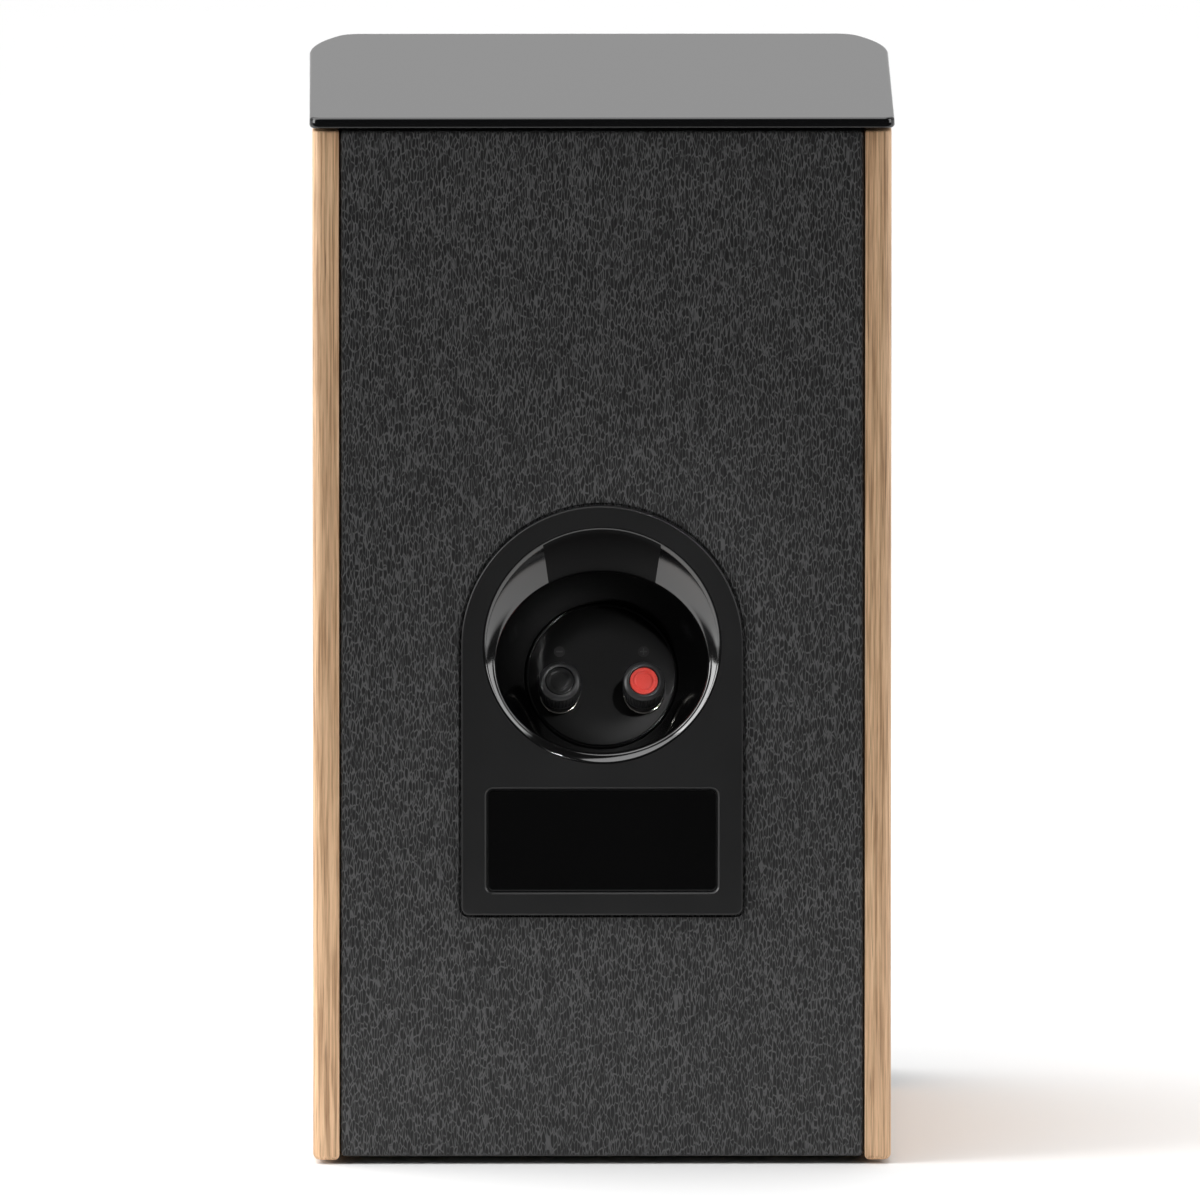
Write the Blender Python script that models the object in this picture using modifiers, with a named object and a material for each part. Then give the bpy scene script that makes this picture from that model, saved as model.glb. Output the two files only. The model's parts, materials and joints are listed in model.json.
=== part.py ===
"""Bookshelf speaker: a two-way loudspeaker in an oak and leatherette cabinet with a glass top.

Metres, +Z up. The drivers face -Y and the terminals face +Y. The origin is on the floor, at the
middle of the bounding box.
"""
import math

import bmesh
import bpy

# Clearances
GAP = 0.0003  # between pieces that touch
FIT = 0.0005  # round a driver or a cup in its rebate
RUNNING = 0.0003  # round a shaft in its hole
MERGE = 0.00001

# Round shapes
FINE = 28
COARSE = 16
SMALL = 12
SCREW_STEPS = 8

# Cabinet
CABINET_WIDTH = 0.220
CABINET_DEPTH = 0.258
CABINET_HEIGHT = 0.395
WALL = 0.015
SIDE_LIP = 0.010
JOINT_LINE = 0.0005
REAR_RECESS = 0.0003
REAR_LIFT = 0.0015
EDGE_ROUND = 0.003
PANEL_BEVEL = 0.0008
SWEEP_DEPTH = 0.055
SWEEP_RADIUS = 0.125
FRONT_CORNER = 0.009
BAFFLE_THICKNESS = 0.022
BRACE_THICKNESS = 0.012
BRACE_RIM = 0.030

# Feet, bond tape and glass
FOOT_HEIGHT = 0.0012
FOOT_RADIUS = 0.009
FOOT_INSET = 0.032
TAPE_THICKNESS = 0.0005
TAPE_INSET = 0.006
GLASS_THICKNESS = 0.0042
GLASS_SIDE_OVERHANG = 0.0011
GLASS_END_OVERHANG = 0.002
GLASS_REAR_CORNER = 0.003
GLASS_BEVEL = 0.0009

# Terminal cup
RIM_HEIGHT = 0.198
RIM_RADIUS = 0.045
CUP_MARGIN = 0.0085
CUP_TAIL = 0.1035
CUP_CORNER = 0.003
CUP_THICKNESS = 0.0028
CUP_PROUD = 0.0019
CUP_WALL = 0.0026
CREASE_DROP = 0.0076
CREASE_WIDTH = 0.0404
CREASE_RISE = 0.034
FLARE_SLOPE = 0.78
DISC_RADIUS = 0.028
DISC_DROP = 0.016
DISC_DEPTH = 0.034
DISC_TILT = math.radians(26)
DISC_STEP = 0.0008
GASKET_WIDTH = 0.0028
GASKET_THICKNESS = 0.0007
LABEL_WIDTH = 0.0875
LABEL_HEIGHT = 0.0393
LABEL_FOOT = 0.009
LABEL_CORNER = 0.0023
LABEL_RECESS = 0.001
LABEL_THICKNESS = 0.0005

# Binding posts, measured along the post from the face of the disc
POST_SPREAD = 0.016
POST_DROP = 0.008
STUD_RADIUS = 0.003
STUD_FLANGE_RADIUS = 0.009
STUD_FLANGE = 0.0012
STUD_TOP = 0.0155
STUD_TAIL = 0.014
BANANA_RADIUS = 0.00205
BANANA_FLOOR = 0.003
COLLAR_HEIGHT = 0.0052
COLLAR_BASE_RADIUS = 0.0084
COLLAR_TOP_RADIUS = 0.0062
CLAMP_THICKNESS = 0.001
CLAMP_RADIUS = 0.0056
KNOB_RADIUS = 0.008
KNOB_HEIGHT = 0.0107
KNOB_RECESS = 0.0018
KNOB_RECESS_RADIUS = 0.0057
THREAD_ROOM = 0.0012  # the knob's thread is left out
PLUG_FLANGE = 0.001
PLUG_STEM_LENGTH = 0.0105
PLUG_STEM_SLACK = 0.00075
NUT_RADIUS = 0.006
NUT_THICKNESS = 0.0035

# Woofer, measured along its axis from the face of the baffle
WOOFER_HEIGHT = 0.176
WOOFER_RADIUS = 0.082
WOOFER_REBATE = 0.006
FLANGE_THICKNESS = 0.0038
BASKET_RADIUS = 0.0725
BASKET_WALL = 0.003
BASKET_DEPTH = 0.056
WINDOW_WIDTH = 0.036
WINDOW_COUNT = 6
SEAT_STEP = 0.0032
SURROUND_THICKNESS = 0.0007
ROLL_OUTER = 0.064
ROLL_WIDTH = 0.010
ROLL_HEIGHT = 0.0043
LIP_WIDTH = 0.0035
CONE_WALL = 0.0008
CONE_DEPTH = 0.0234
CAP_RADIUS = 0.021
CAP_HEIGHT = 0.006
SPIDER_DEPTH = 0.038
SPIDER_WALL = 0.0005
SPIDER_WAVE = 0.0012
SPIDER_WAVES = 3
SPIDER_COLLAR = 0.004
RING_LAP = 0.0018
RING_HEIGHT = 0.0013
COIL_RADIUS = 0.0125
COIL_WALL = 0.0004
WINDING = 0.0008
COIL_HEIGHT = 0.012
COIL_CLEARANCE = 0.0005
TOP_PLATE = 0.006
TOP_PLATE_RADIUS = 0.045
MAGNET_THICKNESS = 0.015
MAGNET_RADIUS = 0.042
MAGNET_BORE = 0.022
YOKE_THICKNESS = 0.006
WOOFER_SCREW_CIRCLE = 0.0773
GASKET_SQUASHED = 0.0012

# Tweeter, measured along its axis from the face of the baffle
TWEETER_HEIGHT = 0.322
TWEETER_RADIUS = 0.052
TWEETER_REBATE = 0.0043
FACEPLATE_THICKNESS = 0.0039
GUIDE_RADIUS = 0.040
THROAT_RADIUS = 0.0162
THROAT_DEPTH = 0.0075
BOSS_RADIUS = 0.036
BOSS_DEPTH = 0.0107
DOME_RADIUS = 0.0127
DOME_HEIGHT = 0.0042
DOME_WALL = 0.0004
DOME_ROLL_HEIGHT = 0.0011
TWEETER_COIL_WALL = 0.0003
TWEETER_WINDING = 0.00045
TWEETER_COIL_HEIGHT = 0.004
TWEETER_GAP = 0.0007
POT_RADIUS = 0.021
POT_WALL = 0.004
POT_DEPTH = 0.0154
POLE_THICKNESS = 0.0036
TWEETER_SCREW_CIRCLE = 0.046

# Screws
SCREW_HEAD_RADIUS = 0.0034
SCREW_HEAD_HEIGHT = 0.0015
SCREW_RADIUS = 0.0018
SCREW_LENGTH = 0.017

# Slot port
PORT_HEIGHT = 0.050
PORT_WIDTH = 0.112
PORT_OPENING = 0.026
PORT_WALL = 0.0025
PORT_LENGTH = 0.120
PORT_CORNER = 0.008
PORT_LIP = 0.004
PORT_LIP_THICKNESS = 0.002

# Crossover, wadding and leads
BOARD_WIDTH = 0.110
BOARD_HEIGHT = 0.076
BOARD_THICKNESS = 0.002
BOARD_STANDOFF = 0.006
BOARD_CENTRE = 0.080
PILLAR_RADIUS = 0.003
INDUCTOR_RADIUS = 0.021
INDUCTOR_BORE = 0.009
INDUCTOR_LENGTH = 0.017
CAPACITOR_RADIUS = 0.009
CAPACITOR_LENGTH = 0.040
WADDING_MARGIN = 0.010
WADDING_DEPTH = 0.090
LEAD_RADIUS = 0.0016

# Places that follow from the sizes above
HALF_WIDTH = CABINET_WIDTH / 2
FLOOR_Z = FOOT_HEIGHT + GAP
ROOF_Z = FLOOR_Z + CABINET_HEIGHT
FRONT_Y = -CABINET_DEPTH / 2
REAR_Y = CABINET_DEPTH / 2
BAFFLE_BACK_Y = FRONT_Y + SWEEP_DEPTH
REAR_FACE_Y = REAR_Y - REAR_RECESS
REAR_INNER_Y = REAR_FACE_Y - WALL
INNER_HALF = HALF_WIDTH - WALL
CUP_FACE_Y = REAR_FACE_Y + CUP_PROUD
CUP_HALF = RIM_RADIUS + CUP_MARGIN
CUP_POCKET = CUP_THICKNESS - CUP_PROUD + GAP
POST_SIDES = {"red": 1, "black": -1}  # as seen from behind
POST_COLOURS = {"red": (0.62, 0.03, 0.025), "black": (0.02, 0.02, 0.02)}

PARTS = bpy.data.collections.new("bookshelf_speaker")
CUTTERS = bpy.data.collections.new("cutters")


def start():
    for old in list(bpy.data.objects):
        bpy.data.objects.remove(old, do_unlink=True)
    bpy.context.scene.collection.children.link(PARTS)
    bpy.context.scene.collection.children.link(CUTTERS)


def material(name, colour, roughness, metallic=0.0):
    made = bpy.data.materials.get(name)
    if made is None:
        made = bpy.data.materials.new(name)
        made.use_nodes = True
        shader = made.node_tree.nodes["Principled BSDF"]
        shader.inputs["Base Color"].default_value = (*colour, 1)
        shader.inputs["Roughness"].default_value = roughness
        shader.inputs["Metallic"].default_value = metallic
        made.diffuse_color = (*colour, 1)
    return made


def oak():
    return material("oak", (0.59, 0.38, 0.23), 0.5)


def leatherette():
    return material("leatherette", (0.035, 0.035, 0.036), 0.6)


def board_core():
    return material("board_core", (0.45, 0.33, 0.21), 0.8)


def satin_black():
    return material("satin_black", (0.016, 0.016, 0.017), 0.35)


def black_rubber():
    return material("black_rubber", (0.015, 0.015, 0.015), 0.75)


def steel():
    return material("steel", (0.55, 0.55, 0.56), 0.35, 1.0)


def nickel():
    return material("nickel", (0.75, 0.73, 0.70), 0.18, 1.0)


def copper():
    return material("copper", (0.60, 0.26, 0.12), 0.35, 1.0)


def empty(name, location, rotation=(0, 0, 0), parent=None):
    frame = bpy.data.objects.new(name, None)
    frame.empty_display_size = 0.02
    frame.location = location
    frame.rotation_euler = rotation
    frame.parent = parent
    PARTS.objects.link(frame)
    return frame


def place(name, mesh, finish, parent=None, location=(0, 0, 0)):
    """Add a part, or a cutter where finish is None."""
    piece = bpy.data.objects.new(name, mesh)
    piece.parent = parent
    piece.location = location
    if finish is None:
        CUTTERS.objects.link(piece)
        piece.hide_render = True
        piece.display_type = "WIRE"
    else:
        PARTS.objects.link(piece)
        mesh.materials.append(finish)
    return piece


def turned(name, profile, finish, steps=FINE, parent=None, location=(0, 0, 0)):
    """Turn a profile of (radius, height) points round local Z, from its outer side's top down."""
    mesh = bpy.data.meshes.new(name)
    count = len(profile)
    edges = [(i, i + 1) for i in range(count - 1)]
    if profile[0][0] > 0 or profile[-1][0] > 0:
        edges.append((count - 1, 0))
    mesh.from_pydata([(radius, 0, height) for radius, height in profile], edges, [])
    piece = place(name, mesh, finish, parent, location)
    screw = piece.modifiers.new("turn", "SCREW")
    screw.steps = steps
    screw.render_steps = steps
    screw.use_merge_vertices = True
    screw.merge_threshold = MERGE
    screw.use_smooth_shade = True
    return piece


def cylinder(name, radius, low, high, finish, steps=FINE, parent=None, location=(0, 0, 0)):
    profile = [(0, high), (radius, high), (radius, low), (0, low)]
    return turned(name, profile, finish, steps, parent, location)


def ring(name, inner, outer, low, high, finish, steps=FINE, parent=None, location=(0, 0, 0)):
    profile = [(outer, high), (outer, low), (inner, low), (inner, high)]
    return turned(name, profile, finish, steps, parent, location)


def box(name, low, high, finish, parent=None, bevel=0.0):
    mesh = bpy.data.meshes.new(name)
    shape = bmesh.new()
    bmesh.ops.create_cube(shape, size=1)
    size = [b - a for a, b in zip(low, high)]
    bmesh.ops.scale(shape, vec=size, verts=shape.verts)
    shape.to_mesh(mesh)
    shape.free()
    centre = [(a + b) / 2 for a, b in zip(low, high)]
    piece = place(name, mesh, finish, parent, centre)
    if bevel:
        round_edges(piece, bevel, 1)
    return piece


def round_edges(piece, width, segments):
    bevel = piece.modifiers.new("edges", "BEVEL")
    bevel.width = width
    bevel.segments = segments
    bevel.limit_method = "ANGLE"
    bevel.angle_limit = math.radians(50)


def extruded(name, outlines, low, high, finish, parent=None):
    """Fill closed outlines of (x, y) points, the inner ones as holes, and extrude them in Z."""
    curve = bpy.data.curves.new(name, "CURVE")
    curve.dimensions = "2D"
    curve.fill_mode = "BOTH"
    curve.extrude = (high - low) / 2
    for outline in outlines:
        spline = curve.splines.new("POLY")
        spline.points.add(len(outline) - 1)
        for point, (x, y) in zip(spline.points, outline):
            point.co = (x, y, 0, 1)
        spline.use_cyclic_u = True
    guide = bpy.data.objects.new(name + "_outline", curve)
    CUTTERS.objects.link(guide)
    graph = bpy.context.evaluated_depsgraph_get()
    mesh = bpy.data.meshes.new_from_object(guide.evaluated_get(graph))
    bpy.data.objects.remove(guide)
    mesh.name = name
    mesh.materials.clear()
    shape = bmesh.new()
    shape.from_mesh(mesh)
    bmesh.ops.remove_doubles(shape, verts=shape.verts, dist=MERGE)
    bmesh.ops.recalc_face_normals(shape, faces=shape.faces)
    shape.to_mesh(mesh)
    shape.free()
    return place(name, mesh, finish, parent, (0, 0, (low + high) / 2))


def loft(name, sections, finish, parent=None):
    """Join closed sections of equal point counts, from the mouth inwards, with flat ends."""
    mesh = bpy.data.meshes.new(name)
    shape = bmesh.new()
    rings = [[shape.verts.new(point) for point in section] for section in sections]
    count = len(rings[0])
    for above, below in zip(rings, rings[1:]):
        for i in range(count):
            j = (i + 1) % count
            shape.faces.new((above[i], above[j], below[j], below[i]))
    shape.faces.new(rings[0])
    shape.faces.new(rings[-1])
    bmesh.ops.recalc_face_normals(shape, faces=shape.faces)
    shape.to_mesh(mesh)
    shape.free()
    return place(name, mesh, finish, parent)


def combine(piece, other, operation):
    """Cut the other shape out of a piece, or join it to the piece."""
    step = piece.modifiers.new(other.name, "BOOLEAN")
    step.operation = operation
    step.solver = "EXACT"
    step.object = other


def cut(piece, cutter):
    combine(piece, cutter, "DIFFERENCE")


def arc(centre, radius, start, end, steps):
    """Points on an arc between two angles in degrees, ends included."""
    points = []
    for i in range(steps + 1):
        angle = math.radians(start + (end - start) * i / steps)
        points.append((centre[0] + radius * math.cos(angle), centre[1] + radius * math.sin(angle)))
    return points


def rounded_rectangle(half_width, half_height, corner, steps=4, centre=(0, 0)):
    points = []
    for quarter, (sx, sy) in enumerate([(1, 1), (-1, 1), (-1, -1), (1, -1)]):
        middle = (centre[0] + sx * (half_width - corner), centre[1] + sy * (half_height - corner))
        points += arc(middle, corner, 90 * quarter, 90 * quarter + 90, steps)
    return points


def swept_front(overhang, front_y):
    """Right half of the plan's front: the side's long sweep and the tight corner, to the front."""
    sweep = SWEEP_RADIUS + overhang
    corner = FRONT_CORNER + overhang
    centre_x = HALF_WIDTH - SWEEP_RADIUS
    corner_y = front_y + corner
    turn = math.asin((BAFFLE_BACK_Y - corner_y) / (sweep - corner))
    corner_x = centre_x + (sweep - corner) * math.cos(turn)
    turn_degrees = math.degrees(turn)
    side = arc((centre_x, BAFFLE_BACK_Y), sweep, 0, -turn_degrees, 5)
    return side + arc((corner_x, corner_y), corner, -turn_degrees, -90, 4)[1:]


def mirrored(half):
    """Close a right half outline with its own mirror image."""
    return half + [(-x, y) for x, y in reversed(half)]


def post_frames():
    """Frames on the middle of the cup's face and disc, and one on each binding post."""
    quarter = math.pi / 2
    rear = empty("rear_frame", (0, CUP_FACE_Y, FLOOR_Z + RIM_HEIGHT), (quarter, 0, math.pi))
    disc = empty("disc_frame", (0, -DISC_DROP, -DISC_DEPTH), (-DISC_TILT, 0, 0), rear)
    posts = {}
    for colour, side in POST_SIDES.items():
        posts[colour] = empty(colour + "_post_axis", (side * POST_SPREAD, -POST_DROP, 0), parent=disc)
    return rear, disc, posts


def front_frame(name, height):
    return empty(name, (0, FRONT_Y, FLOOR_Z + height), (math.pi / 2, 0, 0))


# Cabinet

def side_panels():
    rebate_y = REAR_INNER_Y - GAP
    start_y = BAFFLE_BACK_Y + GAP
    outline = [(HALF_WIDTH, start_y)]
    outline += arc((HALF_WIDTH - EDGE_ROUND, REAR_Y - EDGE_ROUND), EDGE_ROUND, 0, 90, 4)
    outline += [(HALF_WIDTH - SIDE_LIP, REAR_Y), (HALF_WIDTH - SIDE_LIP, rebate_y)]
    outline += [(INNER_HALF, rebate_y), (INNER_HALF, start_y)]
    for name, side in (("right_side_panel", 1), ("left_side_panel", -1)):
        points = [(side * x, y) for x, y in outline]
        extruded(name, [points], FLOOR_Z, ROOF_Z, oak())


def flat_panels():
    half = INNER_HALF - GAP
    front_y = BAFFLE_BACK_Y + GAP
    rear_y = REAR_INNER_Y - GAP
    levels = {"bottom_panel": (FLOOR_Z, FLOOR_Z + WALL), "top_panel": (ROOF_Z - WALL, ROOF_Z)}
    for name, (low, high) in levels.items():
        box(name, (-half, front_y, low), (half, rear_y, high), board_core())


def window_brace():
    """A flat frame across the cabinet, level with the space between the two drivers."""
    woofer_top = WOOFER_HEIGHT + WOOFER_RADIUS
    tweeter_foot = TWEETER_HEIGHT - TWEETER_RADIUS
    middle_z = FLOOR_Z + (woofer_top + tweeter_foot) / 2
    half_x = INNER_HALF - GAP
    front_y = BAFFLE_BACK_Y + GAP
    rear_y = REAR_INNER_Y - GAP
    half_y = (rear_y - front_y) / 2
    centre = (0, (front_y + rear_y) / 2)
    outer = rounded_rectangle(half_x, half_y, 0.001, 1, centre)
    inner = rounded_rectangle(half_x - BRACE_RIM, half_y - BRACE_RIM, 0.012, 3, centre)
    low = middle_z - BRACE_THICKNESS / 2
    extruded("window_brace", [outer, inner], low, low + BRACE_THICKNESS, board_core())


def arch_outline(grow=0.0):
    """The cup's outline as seen from behind, round the middle of its rim."""
    half = CUP_HALF + grow
    corner = CUP_CORNER + grow
    tail = -CUP_TAIL - grow
    points = arc((0, 0), half, 0, 180, 20)
    points += arc((-half + corner, tail + corner), corner, 180, 270, 3)
    points += arc((half - corner, tail + corner), corner, 270, 360, 3)
    return points


def rear_panel(rear):
    half = HALF_WIDTH - SIDE_LIP - JOINT_LINE
    low = (-half, REAR_INNER_Y, FLOOR_Z + REAR_LIFT)
    panel = box("rear_panel", low, (half, REAR_FACE_Y, ROOF_Z), leatherette(), bevel=PANEL_BEVEL)
    floor = -CUP_PROUD - CUP_POCKET
    cut(panel, extruded("cup_pocket", [arch_outline(FIT)], floor, 0.01, None, rear))
    groove_floor = -CUP_THICKNESS - GASKET_THICKNESS - 2 * GAP
    groove_radius = bowl_radius() + FIT + GASKET_WIDTH + FIT
    cut(panel, cylinder("gasket_groove", groove_radius, groove_floor, 0, None, FINE, rear))
    depth = 2 * (WALL + CUP_PROUD)
    cut(panel, cylinder("bowl_hole", bowl_radius() + FIT, -depth, 0, None, FINE, rear))


def front_baffle(woofer, tweeter, port):
    half = swept_front(0.0, FRONT_Y)
    baffle = extruded("front_baffle", [mirrored(half)], FLOOR_Z, ROOF_Z, leatherette())
    pocket_half = INNER_HALF
    low = (-pocket_half, FRONT_Y + BAFFLE_THICKNESS, FLOOR_Z + WALL)
    high = (pocket_half, BAFFLE_BACK_Y + WALL, ROOF_Z - WALL)
    cut(baffle, box("baffle_pocket", low, high, None))
    through = -2 * BAFFLE_THICKNESS
    front = BAFFLE_THICKNESS
    rebates = [
        ("woofer_rebate", WOOFER_RADIUS + FIT, -WOOFER_REBATE, woofer),
        ("woofer_hole", BASKET_RADIUS + FIT, through, woofer),
        ("tweeter_rebate", TWEETER_RADIUS + FIT, -TWEETER_REBATE, tweeter),
        ("tweeter_hole", BOSS_RADIUS + FIT, through, tweeter),
    ]
    for name, radius, floor, frame in rebates:
        cut(baffle, cylinder(name, radius, floor, front, None, FINE, frame))
    for name, low_z, grow in (("port_hole", through, 0.0), ("port_rebate", -PORT_LIP_THICKNESS, PORT_LIP)):
        cut(baffle, port_block(name, PORT_WALL + grow + GAP, low_z - GAP, front, port))
    pilots = (("woofer", WOOFER_SCREW_CIRCLE, woofer), ("tweeter", TWEETER_SCREW_CIRCLE, tweeter))
    for name, circle, frame in pilots:
        for number, spot in screw_spots(circle):
            pilot = cylinder(
                f"{name}_pilot_{number}", SCREW_RADIUS + RUNNING, -SCREW_LENGTH - GAP, front,
                None, SMALL, frame, spot,
            )
            cut(baffle, pilot)


def feet():
    number = 0
    for sy, edge_y in ((-1, FRONT_Y), (1, REAR_Y)):
        for sx in (-1, 1):
            number += 1
            spot = (sx * (HALF_WIDTH - FOOT_INSET), edge_y - sy * FOOT_INSET, 0)
            cylinder(f"foot_{number}", FOOT_RADIUS, 0, FOOT_HEIGHT, black_rubber(), COARSE, None, spot)


def glass_and_tape():
    tape_z = ROOF_Z + GAP
    tape_front = swept_front(-TAPE_INSET, FRONT_Y + TAPE_INSET)
    tape = [(HALF_WIDTH - TAPE_INSET, REAR_Y - TAPE_INSET)] + tape_front
    extruded("glass_bond_tape", [mirrored(tape)], tape_z, tape_z + TAPE_THICKNESS, black_rubber())
    glass_z = tape_z + TAPE_THICKNESS + GAP
    edge = HALF_WIDTH + GLASS_SIDE_OVERHANG
    rear_y = REAR_Y + GLASS_END_OVERHANG
    corner = GLASS_REAR_CORNER
    outline = arc((edge - corner, rear_y - corner), corner, 90, 0, 4)
    outline += swept_front(GLASS_SIDE_OVERHANG, FRONT_Y - GLASS_END_OVERHANG)
    finish = material("black_glass", (0.006, 0.006, 0.007), 0.05)
    glass = extruded("glass_top", [mirrored(outline)], glass_z, glass_z + GLASS_THICKNESS, finish)
    round_edges(glass, GLASS_BEVEL, 2)


# Terminal cup

def bowl_radius():
    return RIM_RADIUS + CUP_WALL


def rim_section(radius, depth):
    return [(x, y, -depth) for x, y in arc((0, 0), radius, 0, 360, FINE)[:-1]]


def crease_section(grow, deeper):
    """The bowl's inner edge: an oval below the rim's middle, as deep as the flare falls to it."""
    points = []
    for i in range(FINE):
        angle = 2 * math.pi * i / FINE
        x = CREASE_WIDTH * math.cos(angle)
        y = CREASE_RISE * math.sin(angle) - CREASE_DROP
        radius = math.hypot(x, y)
        depth = FLARE_SLOPE * (RIM_RADIUS - radius) + deeper
        scale = (radius + grow) / radius
        points.append((x * scale, y * scale, -depth))
    return points


def floor_section(radius, height):
    """A circle on the tilted disc, in the cup's own frame."""
    points = []
    for x, up in arc((0, 0), radius, 0, 360, FINE)[:-1]:
        y = up * math.cos(DISC_TILT) + height * math.sin(DISC_TILT) - DISC_DROP
        z = height * math.cos(DISC_TILT) - up * math.sin(DISC_TILT) - DISC_DEPTH
        points.append((x, y, z))
    return points


def terminal_cup(rear, disc, posts):
    finish = satin_black()
    cup = extruded("terminal_cup", [arch_outline()], -CUP_THICKNESS, 0, finish, rear)
    round_edges(cup, JOINT_LINE, 1)
    back = CUP_THICKNESS / 2
    outer = [rim_section(bowl_radius(), back), crease_section(CUP_WALL, CUP_WALL)]
    outer.append(floor_section(DISC_RADIUS + FIT + CUP_WALL, -DISC_STEP - CUP_WALL))
    combine(cup, loft("bowl_outside", outer, None, rear), "UNION")
    inner = [rim_section(RIM_RADIUS + FLARE_SLOPE * back, -back), crease_section(0, 0)]
    inner.append(floor_section(DISC_RADIUS + FIT, -DISC_STEP))
    cut(cup, loft("bowl_inside", inner, None, rear))
    disc_back = -DISC_STEP - CUP_WALL / 2
    combine(cup, cylinder("disc_block", DISC_RADIUS, disc_back, 0, None, FINE, disc), "UNION")
    for colour, axis in posts.items():
        depth = DISC_STEP + 2 * CUP_WALL
        hole = cylinder(colour + "_stud_hole", STUD_RADIUS + RUNNING, -depth, depth, None, SMALL, axis)
        cut(cup, hole)
    recess = label_outline(0.0)
    cut(cup, extruded("label_recess", [recess], -LABEL_RECESS, LABEL_RECESS, None, rear))


def label_outline(shrink):
    centre = (0, -CUP_TAIL + LABEL_FOOT + LABEL_HEIGHT / 2)
    half_x = LABEL_WIDTH / 2 - shrink
    half_y = LABEL_HEIGHT / 2 - shrink
    return rounded_rectangle(half_x, half_y, LABEL_CORNER - shrink, 3, centre)


def rating_label(rear):
    low = GAP - LABEL_RECESS
    finish = material("gloss_black", (0.005, 0.005, 0.005), 0.12)
    extruded("rating_label", [label_outline(FIT)], low, low + LABEL_THICKNESS, finish, rear)


def terminal_gasket(rear):
    inner = bowl_radius() + FIT
    low = -CUP_THICKNESS - GAP - GASKET_THICKNESS
    high = low + GASKET_THICKNESS
    ring("terminal_gasket", inner, inner + GASKET_WIDTH, low, high, black_rubber(), FINE, rear)


def collar_foot():
    return GAP + STUD_FLANGE + GAP


def clamp_foot():
    return collar_foot() + COLLAR_HEIGHT + GAP


def knob_foot():
    return clamp_foot()


def knob_top():
    return knob_foot() + KNOB_HEIGHT


def post_stud(colour, axis):
    flange_top = GAP + STUD_FLANGE
    profile = [
        (0, BANANA_FLOOR), (BANANA_RADIUS, BANANA_FLOOR), (BANANA_RADIUS, STUD_TOP),
        (STUD_RADIUS, STUD_TOP), (STUD_RADIUS, flange_top), (STUD_FLANGE_RADIUS, flange_top),
        (STUD_FLANGE_RADIUS, GAP), (STUD_RADIUS, GAP), (STUD_RADIUS, -STUD_TAIL), (0, -STUD_TAIL),
    ]
    turned(colour + "_post_stud", profile, nickel(), SMALL, axis)


def post_collar(colour, axis):
    bore = STUD_RADIUS + RUNNING
    foot = collar_foot()
    top = foot + COLLAR_HEIGHT
    waist = COLLAR_TOP_RADIUS
    profile = [
        (waist, top), (waist, top - COLLAR_HEIGHT / 3), (COLLAR_BASE_RADIUS, foot + COLLAR_HEIGHT / 6),
        (COLLAR_BASE_RADIUS, foot), (bore, foot), (bore, top),
    ]
    turned(colour + "_post_collar", profile, satin_black(), COARSE, axis)


def clamp_ring(colour, axis):
    low = clamp_foot()
    bore = STUD_RADIUS + RUNNING
    ring(colour + "_clamp_ring", bore, CLAMP_RADIUS, low, low + CLAMP_THICKNESS, nickel(), SMALL, axis)


def knob(colour, axis):
    bore = STUD_RADIUS + THREAD_ROOM
    foot = knob_foot()
    top = knob_top()
    cup_radius = CLAMP_RADIUS + RUNNING
    cup_roof = foot + CLAMP_THICKNESS + GAP
    floor = top - KNOB_RECESS
    edge = 0.1 * KNOB_RADIUS
    profile = [
        (KNOB_RADIUS - edge, top), (KNOB_RADIUS, top - edge), (KNOB_RADIUS, foot),
        (cup_radius, foot), (cup_radius, cup_roof), (bore, cup_roof), (bore, floor),
        (KNOB_RECESS_RADIUS, floor), (KNOB_RECESS_RADIUS, top),
    ]
    finish = material(colour + "_knob", (0.02, 0.02, 0.02), 0.3)
    turned(colour + "_knob", profile, finish, COARSE, axis)


def dust_plug(colour, axis):
    """Its flange lies in the knob's recess and its stem in the stud's banana socket."""
    low = knob_top() - KNOB_RECESS + GAP
    high = low + PLUG_FLANGE
    flange = KNOB_RECESS_RADIUS - RUNNING
    stem = BANANA_RADIUS - PLUG_STEM_SLACK
    profile = [(0, high), (flange, high), (flange, low), (stem, low)]
    profile += [(stem, low - PLUG_STEM_LENGTH), (0, low - PLUG_STEM_LENGTH)]
    finish = material(colour + "_plug", POST_COLOURS[colour], 0.35)
    turned(colour + "_dust_plug", profile, finish, SMALL, axis)


def post_nut(colour, axis):
    top = -DISC_STEP - CUP_WALL - GAP
    bore = STUD_RADIUS + RUNNING
    outline = arc((0, 0), NUT_RADIUS, 0, 360, 6)[:-1]
    hole = arc((0, 0), bore, 0, 360, SMALL)[:-1]
    extruded(colour + "_post_nut", [outline, hole], top - NUT_THICKNESS, top, nickel(), axis)


def binding_posts(posts):
    for colour, axis in posts.items():
        post_stud(colour, axis)
        post_collar(colour, axis)
        clamp_ring(colour, axis)
        knob(colour, axis)
        dust_plug(colour, axis)
        post_nut(colour, axis)


# Screws

def screw_spots(circle):
    """Number and place of each of four screws on a circle, between the main axes."""
    for number in range(1, 5):
        angle = math.radians(90 * number - 45)
        yield number, (circle * math.cos(angle), circle * math.sin(angle), 0)


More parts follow.
